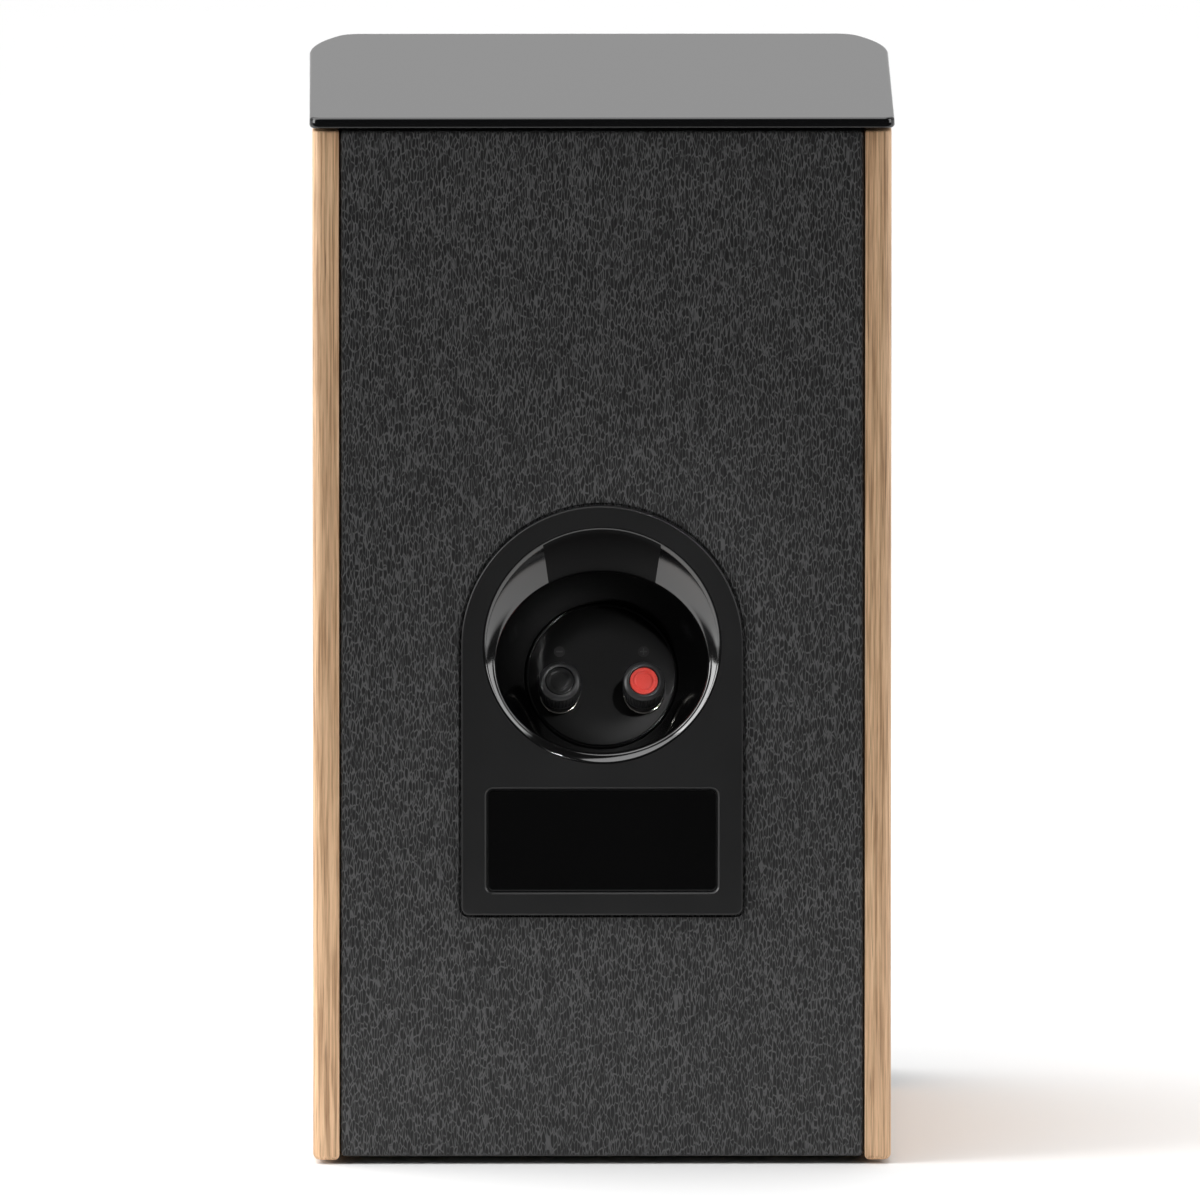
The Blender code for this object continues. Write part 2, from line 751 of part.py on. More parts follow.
def screws(name, circle, seat, frame):
    head = seat + SCREW_HEAD_HEIGHT
    shoulder = seat + SCREW_HEAD_HEIGHT / 2
    profile = [
        (0, head), (0.6 * SCREW_HEAD_RADIUS, head), (SCREW_HEAD_RADIUS, shoulder),
        (SCREW_HEAD_RADIUS, seat), (SCREW_RADIUS, seat), (SCREW_RADIUS, -SCREW_LENGTH + SCREW_RADIUS),
        (0, -SCREW_LENGTH),
    ]
    for number, spot in screw_spots(circle):
        turned(f"{name}_screw_{number}", profile, steel(), SCREW_STEPS, frame, spot)


def drill(piece, label, circle, low, high, frame):
    """Screw holes through a flange or a gasket."""
    for number, spot in screw_spots(circle):
        name = f"{label}_hole_{number}"
        cut(piece, cylinder(name, SCREW_RADIUS + RUNNING, low, high, None, SMALL, frame, spot))


# Woofer

def flange_foot():
    return -WOOFER_REBATE + GAP + GASKET_SQUASHED + GAP


def flange_face():
    return flange_foot() + FLANGE_THICKNESS


def seat_height():
    """Level of the surround's lip, on the step inside the flange."""
    return flange_face() - SEAT_STEP


def roll(inner, width, level, height, steps):
    """Half an oval over a base line, from its outer foot to its inner one."""
    points = []
    for i in range(steps + 1):
        angle = math.pi * i / steps
        radius = inner + width / 2 * (1 + math.cos(angle))
        points.append((radius, level + height * math.sin(angle)))
    return points


def rolled_ring(inner, outer, roll_inner, roll_width, roll_height, foot, wall, steps):
    """Profile of a flat ring with one half roll in it."""
    shift = wall / 2
    over = roll(roll_inner - shift, roll_width + wall, foot + wall, roll_height, steps)
    under = roll(roll_inner + shift, roll_width - wall, foot, roll_height, steps)
    return [(outer, foot + wall), (outer, foot)] + under + [(inner, foot), (inner, foot + wall)] \
        + list(reversed(over))


def woofer_gasket(frame):
    low = -WOOFER_REBATE + GAP
    inner = BASKET_RADIUS + FIT
    gasket = ring(
        "woofer_gasket", inner, WOOFER_RADIUS, low, low + GASKET_SQUASHED, black_rubber(), FINE, frame,
    )
    drill(gasket, "gasket", WOOFER_SCREW_CIRCLE, -WOOFER_REBATE, 0, frame)


def basket_ledge_radius():
    return BASKET_RADIUS - 0.020


def woofer_basket(frame):
    """A flange, a skirt that narrows to the spider's ledge, and a base on the motor."""
    face = flange_face()
    foot = flange_foot()
    seat = seat_height()
    neck = basket_ledge_radius()
    ledge = -SPIDER_DEPTH
    base = -BASKET_DEPTH
    shoulder = foot - 2 * BASKET_WALL
    inner_neck = neck - BASKET_WALL
    seat_inner = ROLL_OUTER - GAP
    seat_outer = BASKET_RADIUS - BASKET_WALL / 3
    profile = [
        (WOOFER_RADIUS, face), (WOOFER_RADIUS, foot), (BASKET_RADIUS, foot), (BASKET_RADIUS, shoulder),
        (neck, ledge + BASKET_WALL / 3), (neck, base), (MAGNET_BORE, base),
        (MAGNET_BORE, base + BASKET_WALL), (inner_neck, base + BASKET_WALL),
        (inner_neck, ledge - BASKET_WALL), (inner_neck - 2 * BASKET_WALL, ledge - BASKET_WALL),
        (inner_neck - 2 * BASKET_WALL, ledge), (inner_neck, ledge),
        (inner_neck, ledge + BASKET_WALL), (BASKET_RADIUS - BASKET_WALL, shoulder),
        (seat_inner, seat - BASKET_WALL), (seat_inner, seat), (seat_outer, seat), (seat_outer, face),
    ]
    basket = turned("woofer_basket", profile, satin_black(), FINE, frame)
    drill(basket, "basket", WOOFER_SCREW_CIRCLE, foot - GAP, -foot, frame)
    half = WINDOW_WIDTH / 2
    low = (neck - BASKET_WALL, -half, ledge + 2 * BASKET_WALL)
    high = (WOOFER_RADIUS, half, shoulder - BASKET_WALL)
    for number in range(WINDOW_COUNT):
        window = box(f"basket_window_{number + 1}", low, high, None, frame)
        turn_about_axis(window, 2 * math.pi * number / WINDOW_COUNT)
        cut(basket, window)


def turn_about_axis(piece, angle):
    x, y, z = piece.location
    cosine = math.cos(angle)
    sine = math.sin(angle)
    piece.location = (x * cosine - y * sine, x * sine + y * cosine, z)
    piece.rotation_euler = (0, 0, angle)


def cone_edge():
    return ROLL_OUTER - ROLL_WIDTH - GAP


def cone_level(radius):
    """Height of the cone's front face, which bows a little between its edge and its neck."""
    edge = cone_edge() - LIP_WIDTH
    neck = COIL_RADIUS + COIL_WALL + GAP
    share = min(1.0, max(0.0, (edge - radius) / (edge - neck)))
    return seat_height() - CONE_DEPTH * (0.75 * share + 0.25 * share * share)


def woofer_cone(frame):
    edge = cone_edge()
    neck = COIL_RADIUS + COIL_WALL + GAP
    steps = 5
    radii = [edge - LIP_WIDTH - (edge - LIP_WIDTH - neck) * i / steps for i in range(steps + 1)]
    front = [(radius, cone_level(radius)) for radius in radii]
    back = [(radius, level - 1.4 * CONE_WALL) for radius, level in front]
    rim = seat_height()
    profile = [(edge, rim), (edge, rim - CONE_WALL)] + back + list(reversed(front))
    finish = material("cone", (0.03, 0.03, 0.032), 0.55)
    turned("woofer_cone", profile, finish, FINE, frame)


def woofer_surround(frame):
    inner = cone_edge() - LIP_WIDTH + GAP
    outer = BASKET_RADIUS - BASKET_WALL / 3 - FIT
    foot = seat_height() + GAP
    profile = rolled_ring(
        inner, outer, ROLL_OUTER - ROLL_WIDTH, ROLL_WIDTH, ROLL_HEIGHT, foot, SURROUND_THICKNESS, 6,
    )
    turned("woofer_surround", profile, black_rubber(), FINE, frame)


def woofer_trim_ring(frame):
    """Clamps the surround's lip, and laps over the step in the flange."""
    foot = seat_height() + GAP + SURROUND_THICKNESS + GAP
    lap = flange_face() + GAP
    outer = BASKET_RADIUS - BASKET_WALL / 3 - FIT
    inner = ROLL_OUTER + SURROUND_THICKNESS + FIT
    cap = outer + RING_LAP
    top = lap + RING_HEIGHT
    edge = RING_HEIGHT / 2
    profile = [
        (cap - edge, top), (cap, top - edge), (cap, lap), (outer, lap), (outer, foot),
        (inner, foot), (inner, top - edge), (inner + edge, top),
    ]
    turned("woofer_trim_ring", profile, satin_black(), FINE, frame)


def woofer_dust_cap(frame):
    wall = CONE_WALL
    level = cone_level(CAP_RADIUS) + GAP + wall / 2
    steps = 5
    outside = []
    inside = []
    for i in range(steps + 1):
        angle = math.pi / 2 * i / steps
        outside.append((CAP_RADIUS * math.sin(angle), level + (CAP_HEIGHT + wall) * math.cos(angle)))
        radius = (CAP_RADIUS - 1.5 * wall) * math.sin(angle)
        inside.append((radius, level + CAP_HEIGHT * math.cos(angle)))
    profile = outside + list(reversed(inside))
    profile[0] = (0, profile[0][1])
    profile[-1] = (0, profile[-1][1])
    finish = material("dust_cap", (0.02, 0.02, 0.021), 0.5)
    turned("woofer_dust_cap", profile, finish, FINE, frame)


def motor_face():
    return -BASKET_DEPTH - GAP


def woofer_voice_coil(frame):
    """A thin former with its winding centred in the magnet's gap."""
    middle = motor_face() - TOP_PLATE / 2
    low = middle - COIL_HEIGHT / 2
    high = middle + COIL_HEIGHT / 2
    inner = COIL_RADIUS
    former = inner + COIL_WALL
    wound = former + WINDING
    top = cone_level(0) + 3 * CONE_WALL
    profile = [
        (former, top), (former, high), (wound, high), (wound, low), (inner, low), (inner, top),
    ]
    turned("woofer_voice_coil", profile, copper(), COARSE, frame)


def woofer_spider(frame):
    """A corrugated disc between the basket's ledge and the coil's former."""
    inner = COIL_RADIUS + COIL_WALL + GAP
    ledge_inner = basket_ledge_radius() - 3 * BASKET_WALL
    outer = basket_ledge_radius() - BASKET_WALL - FIT
    level = -SPIDER_DEPTH + GAP
    start_radius = inner + SPIDER_COLLAR
    end_radius = ledge_inner - SPIDER_COLLAR / 2
    steps = 4 * SPIDER_WAVES
    wave = []
    for i in range(steps + 1):
        radius = end_radius - (end_radius - start_radius) * i / steps
        wave.append((radius, level + SPIDER_WAVE * math.sin(2 * math.pi * SPIDER_WAVES * i / steps)))
    under = [(outer, level)] + wave + [(inner, level)]
    over = [(radius, height + SPIDER_WALL) for radius, height in reversed(under)]
    finish = material("spider_cloth", (0.55, 0.40, 0.16), 0.9)
    turned("woofer_spider", [over[-1]] + under + over[:-1], finish, COARSE, frame)


def woofer_motor(frame):
    """The top plate, the ring magnet, and the yoke with its pole up through both."""
    plate_low = motor_face() - TOP_PLATE
    bore = COIL_RADIUS + COIL_WALL + WINDING + COIL_CLEARANCE
    ring("woofer_top_plate", bore, TOP_PLATE_RADIUS, plate_low, motor_face(), steel(), COARSE, frame)
    magnet_high = plate_low - GAP
    magnet_low = magnet_high - MAGNET_THICKNESS
    finish = material("ferrite", (0.05, 0.05, 0.055), 0.7)
    ring("woofer_magnet", MAGNET_BORE, MAGNET_RADIUS, magnet_low, magnet_high, finish, COARSE, frame)
    yoke_high = magnet_low - GAP
    pole = COIL_RADIUS - COIL_CLEARANCE
    profile = [
        (0, motor_face()), (pole, motor_face()), (pole, yoke_high), (TOP_PLATE_RADIUS, yoke_high),
        (TOP_PLATE_RADIUS, yoke_high - YOKE_THICKNESS), (0, yoke_high - YOKE_THICKNESS),
    ]
    turned("woofer_yoke", profile, steel(), COARSE, frame)


def make_woofer(frame):
    woofer_gasket(frame)
    woofer_basket(frame)
    woofer_surround(frame)
    woofer_trim_ring(frame)
    woofer_cone(frame)
    woofer_dust_cap(frame)
    woofer_voice_coil(frame)
    woofer_spider(frame)
    woofer_motor(frame)
    screws("woofer", WOOFER_SCREW_CIRCLE, flange_face() + GAP, frame)


# Tweeter

def faceplate_face():
    return -TWEETER_REBATE + GAP + FACEPLATE_THICKNESS


def tweeter_lip_top():
    """Level of the top of the dome surround's lip, under the faceplate's throat."""
    return -THROAT_DEPTH - GAP


def dome_foot():
    return tweeter_lip_top() - DOME_WALL


def pot_face():
    return dome_foot() - GAP


def tweeter_faceplate(frame):
    face = faceplate_face()
    back = face - FACEPLATE_THICKNESS
    pot_room = POT_RADIUS + FIT
    steps = 5
    guide = []
    for i in range(steps + 1):
        share = i / steps
        radius = THROAT_RADIUS + (GUIDE_RADIUS - THROAT_RADIUS) * share
        guide.append((radius, face - (THROAT_DEPTH - DOME_ROLL_HEIGHT + face) * (1 - share) ** 2))
    edge = FIT
    profile = [
        (TWEETER_RADIUS - edge, face), (TWEETER_RADIUS, face - edge), (TWEETER_RADIUS, back),
        (BOSS_RADIUS, back), (BOSS_RADIUS, -BOSS_DEPTH), (pot_room, -BOSS_DEPTH),
        (pot_room, -THROAT_DEPTH), (THROAT_RADIUS, -THROAT_DEPTH),
    ]
    plate = turned("tweeter_faceplate", profile + guide, satin_black(), FINE, frame)
    drill(plate, "faceplate", TWEETER_SCREW_CIRCLE, back - GAP, -back, frame)


def tweeter_dome(frame):
    """A cloth dome with a narrow flat rim under it."""
    foot = dome_foot()
    wall = DOME_WALL
    rim = DOME_RADIUS + GAP
    steps = 6
    outside = []
    inside = []
    for i in range(steps + 1):
        angle = math.pi / 2 * i / steps
        radius = DOME_RADIUS * math.sin(angle)
        outside.append((radius, foot + wall + DOME_HEIGHT * math.cos(angle)))
        inside.append(((DOME_RADIUS - wall) * math.sin(angle), foot + DOME_HEIGHT * math.cos(angle)))
    profile = outside[:-1] + [(DOME_RADIUS, foot + wall), (rim, foot + wall), (rim, foot)]
    profile += list(reversed(inside))
    profile[0] = (0, profile[0][1])
    profile[-1] = (0, profile[-1][1])
    finish = material("dome_cloth", (0.012, 0.012, 0.013), 0.6)
    turned("tweeter_dome", profile, finish, COARSE, frame)


def tweeter_surround(frame):
    inner = DOME_RADIUS + 2 * GAP
    roll_outer = THROAT_RADIUS - FIT
    roll_inner = inner + DOME_WALL
    outer = POT_RADIUS - FIT
    profile = rolled_ring(
        inner, outer, roll_inner, roll_outer - roll_inner, DOME_ROLL_HEIGHT, dome_foot(), DOME_WALL, 4,
    )
    turned("tweeter_surround", profile, black_rubber(), COARSE, frame)


def tweeter_voice_coil(frame):
    top = dome_foot() - GAP
    outer = DOME_RADIUS
    inner = outer - TWEETER_COIL_WALL
    wound = outer + TWEETER_WINDING
    shoulder = top - DOME_WALL
    low = shoulder - TWEETER_COIL_HEIGHT
    profile = [(outer, top), (outer, shoulder), (wound, shoulder), (wound, low), (inner, low), (inner, top)]
    turned("tweeter_voice_coil", profile, copper(), COARSE, frame)


def tweeter_motor(frame):
    """A steel pot with the magnet and its pole disc standing in it."""
    face = pot_face()
    hole = DOME_RADIUS + TWEETER_WINDING + TWEETER_GAP
    room = POT_RADIUS - POT_WALL
    floor = face - POT_DEPTH + POT_WALL
    foot = face - POT_DEPTH
    profile = [
        (POT_RADIUS, face), (POT_RADIUS, foot), (0, foot), (0, floor), (room, floor),
        (room, face - POT_WALL), (hole, face - POT_WALL), (hole, face),
    ]
    pot = profile[3:] + profile[:3]
    turned("tweeter_yoke", pot, steel(), COARSE, frame)
    pole = DOME_RADIUS - TWEETER_COIL_WALL - FIT
    pole_low = face - POLE_THICKNESS
    slim = 0.94 * pole
    disc = [(0, face), (pole, face), (pole, pole_low), (slim, pole_low), (slim, floor + GAP)]
    disc.append((0, floor + GAP))
    finish = material("neodymium", (0.55, 0.55, 0.57), 0.3, 1.0)
    turned("tweeter_magnet", disc, finish, COARSE, frame)


def make_tweeter(frame):
    tweeter_faceplate(frame)
    tweeter_dome(frame)
    tweeter_surround(frame)
    tweeter_voice_coil(frame)
    tweeter_motor(frame)
    screws("tweeter", TWEETER_SCREW_CIRCLE, faceplate_face() + GAP, frame)


# Slot port

def port_block(name, grow, low, high, frame):
    half_x = PORT_WIDTH / 2 + grow
    half_y = PORT_OPENING / 2 + grow
    outline = rounded_rectangle(half_x, half_y, PORT_CORNER + grow, 4)
    return extruded(name, [outline], low, high, None, frame)


def port_duct(frame):
    outer = rounded_rectangle(PORT_WIDTH / 2 + PORT_WALL, PORT_OPENING / 2 + PORT_WALL,
                              PORT_CORNER + PORT_WALL, 4)
    duct = extruded("port_duct", [outer], -PORT_LENGTH, 0, satin_black(), frame)
    lip = port_block("port_lip", PORT_WALL + PORT_LIP, -PORT_LIP_THICKNESS, 0, frame)
    combine(duct, lip, "UNION")
    cut(duct, port_block("port_bore", 0.0, -PORT_LENGTH - WALL, WALL, frame))


# Crossover, wadding and leads

def board_back_y():
    return REAR_INNER_Y - GAP - BOARD_STANDOFF


def crossover():
    back = board_back_y()
    face = back - BOARD_THICKNESS
    centre_z = FLOOR_Z + BOARD_CENTRE
    half_x = BOARD_WIDTH / 2
    half_z = BOARD_HEIGHT / 2
    low = (-half_x, face, centre_z - half_z)
    finish = material("circuit_board", (0.10, 0.16, 0.06), 0.6)
    board = box("crossover_board", low, (half_x, back, centre_z + half_z), finish)
    quarter = math.pi / 2
    for number, (sx, sz) in enumerate([(1, 1), (-1, 1), (-1, -1), (1, -1)], 1):
        spot = (sx * (half_x - 2 * PILLAR_RADIUS), face + BOARD_THICKNESS / 2,
                centre_z + sz * (half_z - 2 * PILLAR_RADIUS))
        length = BOARD_STANDOFF + BOARD_THICKNESS / 2
        pillar = cylinder(f"board_pillar_{number}", PILLAR_RADIUS, 0, length, None, SMALL, None, spot)
        pillar.rotation_euler = (-quarter, 0, 0)
        combine(board, pillar, "UNION")
    coil = ring("crossover_inductor", INDUCTOR_BORE, INDUCTOR_RADIUS, GAP, GAP + INDUCTOR_LENGTH,
                copper(), COARSE)
    coil.location = (-half_x / 2, face, centre_z)
    coil.rotation_euler = (quarter, 0, 0)
    finish = material("capacitor_film", (0.55, 0.33, 0.05), 0.4)
    can = cylinder("crossover_capacitor", CAPACITOR_RADIUS, -CAPACITOR_LENGTH / 2,
                   CAPACITOR_LENGTH / 2, finish, COARSE)
    can.location = (half_x / 2, face - GAP - CAPACITOR_RADIUS, centre_z)


def damping_wadding():
    """A folded pad in the top of the cabinet, behind the tweeter."""
    half = INNER_HALF - WADDING_MARGIN
    rear_y = REAR_INNER_Y - WADDING_MARGIN
    brace_top = FLOOR_Z + (WOOFER_HEIGHT + WOOFER_RADIUS + TWEETER_HEIGHT - TWEETER_RADIUS) / 2
    low = (-half, rear_y - WADDING_DEPTH, brace_top + BRACE_THICKNESS + WADDING_MARGIN)
    high = (half, rear_y, ROOF_Z - WALL - WADDING_MARGIN)
    finish = material("wadding", (0.80, 0.80, 0.78), 0.95)
    box("damping_wadding", low, high, finish, bevel=WADDING_MARGIN)


def smooth_route(points, steps=4):
    """A smooth curve through a route's points."""
    ends = [points[0]] + points + [points[-1]]
    route = []
    for before, start_at, end_at, after in zip(ends, ends[1:], ends[2:], ends[3:]):
        for i in range(steps):
            t = i / steps
            spot = []
            for a, b, c, d in zip(before, start_at, end_at, after):
                bend = (2 * a - 5 * b + 4 * c - d) * t * t + (3 * b - a - 3 * c + d) * t ** 3
                spot.append(0.5 * (2 * b + (c - a) * t + bend))
            route.append(spot)
    route.append(points[-1])
    return route


def lead(name, points):
    curve = bpy.data.curves.new(name, "CURVE")
    curve.dimensions = "3D"
    curve.bevel_depth = LEAD_RADIUS
    curve.bevel_resolution = 2
    curve.use_fill_caps = True
    spline = curve.splines.new("POLY")
    route = smooth_route(points)
    spline.points.add(len(route) - 1)
    for point, spot in zip(spline.points, route):
        point.co = (*spot, 1)
    place(name, curve, material("lead_sheath", (0.03, 0.03, 0.035), 0.5))


def leads():
    """From the crossover's upper edge to the woofer's basket and to the back of the tweeter."""
    board_top = FLOOR_Z + BOARD_CENTRE + BOARD_HEIGHT / 2 + LEAD_RADIUS + GAP
    board_y = board_back_y() - BOARD_THICKNESS / 2
    side = BOARD_WIDTH / 3
    woofer_z = FLOOR_Z + WOOFER_HEIGHT
    slant = math.sqrt(0.5)
    reach = basket_ledge_radius() + 2 * GAP
    lug = -BASKET_DEPTH + 2 * BASKET_WALL
    lug_y = FRONT_Y - lug
    lead("woofer_lead", [
        (-side, board_y, board_top), (-side - 0.004, board_y - 0.002, board_top + 0.010),
        (-0.060, board_y - 0.030, woofer_z - 0.046), (-0.068, 0.010, woofer_z - 0.056),
        (-0.062, lug_y + 0.040, woofer_z - 0.060),
        (-slant * (reach + 0.012), lug_y + 0.004, woofer_z - slant * (reach + 0.012)),
        (-slant * reach, lug_y, woofer_z - slant * reach),
    ])
    tweeter_z = FLOOR_Z + TWEETER_HEIGHT
    pot_back_y = FRONT_Y - pot_face() + POT_DEPTH + 2 * GAP
    lead("tweeter_lead", [
        (side, board_y, board_top), (side + 0.006, board_y - 0.002, board_top + 0.012),
        (0.060, board_y - 0.030, woofer_z - 0.010), (0.062, 0.030, woofer_z + 0.050),
        (0.050, 0.004, woofer_z + 0.088), (0.040, -0.010, tweeter_z - 0.038),
        (0.022, -0.040, tweeter_z - 0.010), (0.010, pot_back_y + 0.016, tweeter_z),
        (0.010, pot_back_y, tweeter_z),
    ])


def main():
    start()
    rear, disc, posts = post_frames()
    woofer = front_frame("woofer_axis", WOOFER_HEIGHT)
    tweeter = front_frame("tweeter_axis", TWEETER_HEIGHT)
    port = front_frame("port_axis", PORT_HEIGHT)
    side_panels()
    flat_panels()
    window_brace()
    rear_panel(rear)
    front_baffle(woofer, tweeter, port)
    feet()
    glass_and_tape()
    terminal_cup(rear, disc, posts)
    rating_label(rear)
    terminal_gasket(rear)
    binding_posts(posts)
    make_woofer(woofer)
    make_tweeter(tweeter)
    port_duct(port)
    crossover()
    damping_wadding()
    leads()


main()
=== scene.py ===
"""The looks of the bookshelf speaker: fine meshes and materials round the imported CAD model.

Every piece keeps its mesh in the object's own frame, in metres, so that Object texture
coordinates are the same real-size coordinates on all of them.
"""

import json
import math

import bmesh
import bpy
from mathutils import Matrix, Vector
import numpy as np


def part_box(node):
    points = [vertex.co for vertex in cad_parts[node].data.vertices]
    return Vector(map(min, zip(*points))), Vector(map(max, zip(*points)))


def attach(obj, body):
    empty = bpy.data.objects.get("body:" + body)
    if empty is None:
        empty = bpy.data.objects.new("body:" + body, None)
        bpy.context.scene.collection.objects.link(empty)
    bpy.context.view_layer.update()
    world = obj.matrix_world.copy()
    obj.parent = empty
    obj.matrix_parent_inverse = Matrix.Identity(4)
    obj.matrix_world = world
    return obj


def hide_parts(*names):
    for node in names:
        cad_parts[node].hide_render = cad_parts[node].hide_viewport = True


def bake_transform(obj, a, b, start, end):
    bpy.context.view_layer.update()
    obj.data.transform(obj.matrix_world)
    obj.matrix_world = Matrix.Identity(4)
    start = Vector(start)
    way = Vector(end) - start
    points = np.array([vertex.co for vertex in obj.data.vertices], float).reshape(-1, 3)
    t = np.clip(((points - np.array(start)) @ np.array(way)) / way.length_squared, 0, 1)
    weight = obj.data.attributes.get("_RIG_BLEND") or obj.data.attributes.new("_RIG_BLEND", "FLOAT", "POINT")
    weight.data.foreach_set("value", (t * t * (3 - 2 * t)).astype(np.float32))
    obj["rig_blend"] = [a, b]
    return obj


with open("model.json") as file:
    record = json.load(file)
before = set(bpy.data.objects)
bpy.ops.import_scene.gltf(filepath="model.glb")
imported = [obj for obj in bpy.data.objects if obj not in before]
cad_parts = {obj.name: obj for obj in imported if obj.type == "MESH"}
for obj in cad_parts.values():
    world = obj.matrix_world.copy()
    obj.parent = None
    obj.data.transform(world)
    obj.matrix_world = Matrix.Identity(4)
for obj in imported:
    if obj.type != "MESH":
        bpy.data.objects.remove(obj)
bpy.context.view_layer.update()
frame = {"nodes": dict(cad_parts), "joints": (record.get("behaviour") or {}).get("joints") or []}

ROUND = 128  # sides of a large turned piece
SMALL_ROUND = 64
FLAT_MARGIN = 0.0003  # width of the flat ring that keeps a rounded edge from shading the face inside it
CABINET = "cabinet"

# Sizes in metres, as the CAD model has them
EDGE_ROUND = 0.003
SIDE_LIP = 0.010
PANEL_EDGE = 0.0012
SWEEP_RADIUS = 0.125
FRONT_CORNER = 0.009
GLASS_SIDE_OVERHANG = 0.0011
GLASS_END_OVERHANG = 0.002
GLASS_CORNER = 0.004
GLASS_EDGE = 0.0013
BAFFLE_THICKNESS = 0.022
FIT = 0.0005
GAP = 0.0003

RIM_RADIUS = 0.045
RIM_EASE = 0.0005
CUP_THICKNESS = 0.0028
CUP_POCKET = 0.0012
CUP_WALL = 0.0026
CUP_TAIL = 0.1035
CUP_CORNER = 0.003
CUP_EDGE = 0.0006
CREASE_DROP = 0.0076
CREASE_WIDTH = 0.0404
CREASE_RISE = 0.034
FLARE_SLOPE = 0.78
DISC_RADIUS = 0.028
DISC_DROP = 0.016
DISC_DEPTH = 0.034
DISC_TILT = math.radians(26)
DISC_STEP = 0.0008
LABEL_WIDTH = 0.0875
LABEL_HEIGHT = 0.0393
LABEL_FOOT = 0.009
LABEL_CORNER = 0.0023
LABEL_RECESS = 0.001
LABEL_CHAMFER = 0.0009
CUP_GAP = 0.0011
MARK_RADIUS = 0.0021
MARK_RISE = 0.0095


# Outlines and profiles

def arc(centre, radius, start, end, steps):
    """Points on an arc between two angles in degrees, ends included."""
    points = []
    for i in range(steps + 1):
        angle = math.radians(start + (end - start) * i / steps)
        points.append((centre[0] + radius * math.cos(angle), centre[1] + radius * math.sin(angle)))
    return points


def circle(radius, sides, centre=(0, 0)):
    return arc(centre, radius, 0, 360, sides)[:-1]


def rounded_rectangle(half_width, half_height, corner, steps=8, centre=(0, 0)):
    points = []
    for quarter, (sx, sy) in enumerate([(1, 1), (-1, 1), (-1, -1), (1, -1)]):
        middle = (centre[0] + sx * (half_width - corner), centre[1] + sy * (half_height - corner))
        points += arc(middle, corner, 90 * quarter, 90 * quarter + 90, steps)
    return points


def eased(points, closed=False, steps=4):
    """Round the corners of a line: a point may have a third number, the length of its ease."""
    made = []
    count = len(points)
    for i, point in enumerate(points):
        inner = closed or 0 < i < count - 1
        if len(point) < 3 or not inner:
            made.append(tuple(point[:2]))
            continue
        here = Vector(point[:2])
        before = Vector(points[i - 1][:2]) - here
        after = Vector(points[(i + 1) % count][:2]) - here
        reach = min(point[2], 0.45 * before.length, 0.45 * after.length)
        start = here + before.normalized() * reach
        end = here + after.normalized() * reach
        for j in range(steps + 1):
            t = j / steps
            spot = start * (1 - t) ** 2 + here * 2 * t * (1 - t) + end * t ** 2
            made.append((spot.x, spot.y))
    return made


def inset(outline, distance):
    """The outline of a flat shape, moved inwards; it runs anticlockwise."""
    count = len(outline)
    made = []
    for i in range(count):
        here = Vector(outline[i])
        before = (here - Vector(outline[i - 1])).normalized()
        after = (Vector(outline[(i + 1) % count]) - here).normalized()
        normal = Vector((-before.y - after.y, before.x + after.x)).normalized()
        across = max(0.5, normal.dot(Vector((-before.y, before.x))))
        made.append(tuple(here + normal * distance / across))
    return made


def anticlockwise(outline):
    area = sum(a[0] * b[1] - b[0] * a[1] for a, b in zip(outline, outline[1:] + outline[:1]))
    return outline if area > 0 else list(reversed(outline))


def swept_front(overhang, front_y, back_y, half_width):
    """Right half of the plan's front: the side's long sweep and the tight corner, to the front."""
    sweep = SWEEP_RADIUS + overhang
    corner = FRONT_CORNER + overhang
    centre_x = half_width - SWEEP_RADIUS
    corner_y = front_y + corner
    turn = math.asin((back_y - corner_y) / (sweep - corner))
    corner_x = centre_x + (sweep - corner) * math.cos(turn)
    degrees = math.degrees(turn)
    side = arc((centre_x, back_y), sweep, 0, -degrees, 24)
    return side + arc((corner_x, corner_y), corner, -degrees, -90, 14)[1:]


def mirrored(half):
    return anticlockwise(half + [(-x, y) for x, y in reversed(half)])


# Meshes

def add_object(name, data):
    made = bpy.data.objects.new(name, data)
    bpy.context.scene.collection.objects.link(made)
    return made


def finish_mesh(name, shape, finishes, angle=32):
    """Turn a bmesh into a piece of the object, smooth but for its sharp edges."""
    bmesh.ops.remove_doubles(shape, verts=shape.verts, dist=1e-7)
    bmesh.ops.recalc_face_normals(shape, faces=shape.faces)
    mesh = bpy.data.meshes.new(name)
    shape.to_mesh(mesh)
    shape.free()
    for finish in finishes:
        mesh.materials.append(finish)
    mesh.shade_smooth()
    mesh.set_sharp_from_angle(angle=math.radians(angle))
    return add_object(name, mesh)


def add_loop(shape, points, where=None):
    return [shape.verts.new(where @ Vector(p) if where else Vector(p)) for p in points]


def bridge(shape, one, other, index=0):
    """Join two loops of equal length with a band of quads."""
    count = len(one)
    band = []
    for i in range(count):
        j = (i + 1) % count
        face = shape.faces.new((one[i], one[j], other[j], other[i]))
        face.material_index = index
        band.append(face)
    return band


def stack(shape, rows, where=None, index=0, closed=False):
    """Add rows of points as loops, each joined to the next."""
    loops = [add_loop(shape, row, where) for row in rows]
    for one, other in zip(loops, loops[1:] + (loops[:1] if closed else [])):
        bridge(shape, one, other, index)
    return loops


def level_row(outline, level):
    return [(x, y, level) for x, y in outline]


def loop_edges(shape, loop):
    return [shape.edges.get((a, b)) or shape.edges.new((a, b)) for a, b in zip(loop, loop[1:] + loop[:1])]


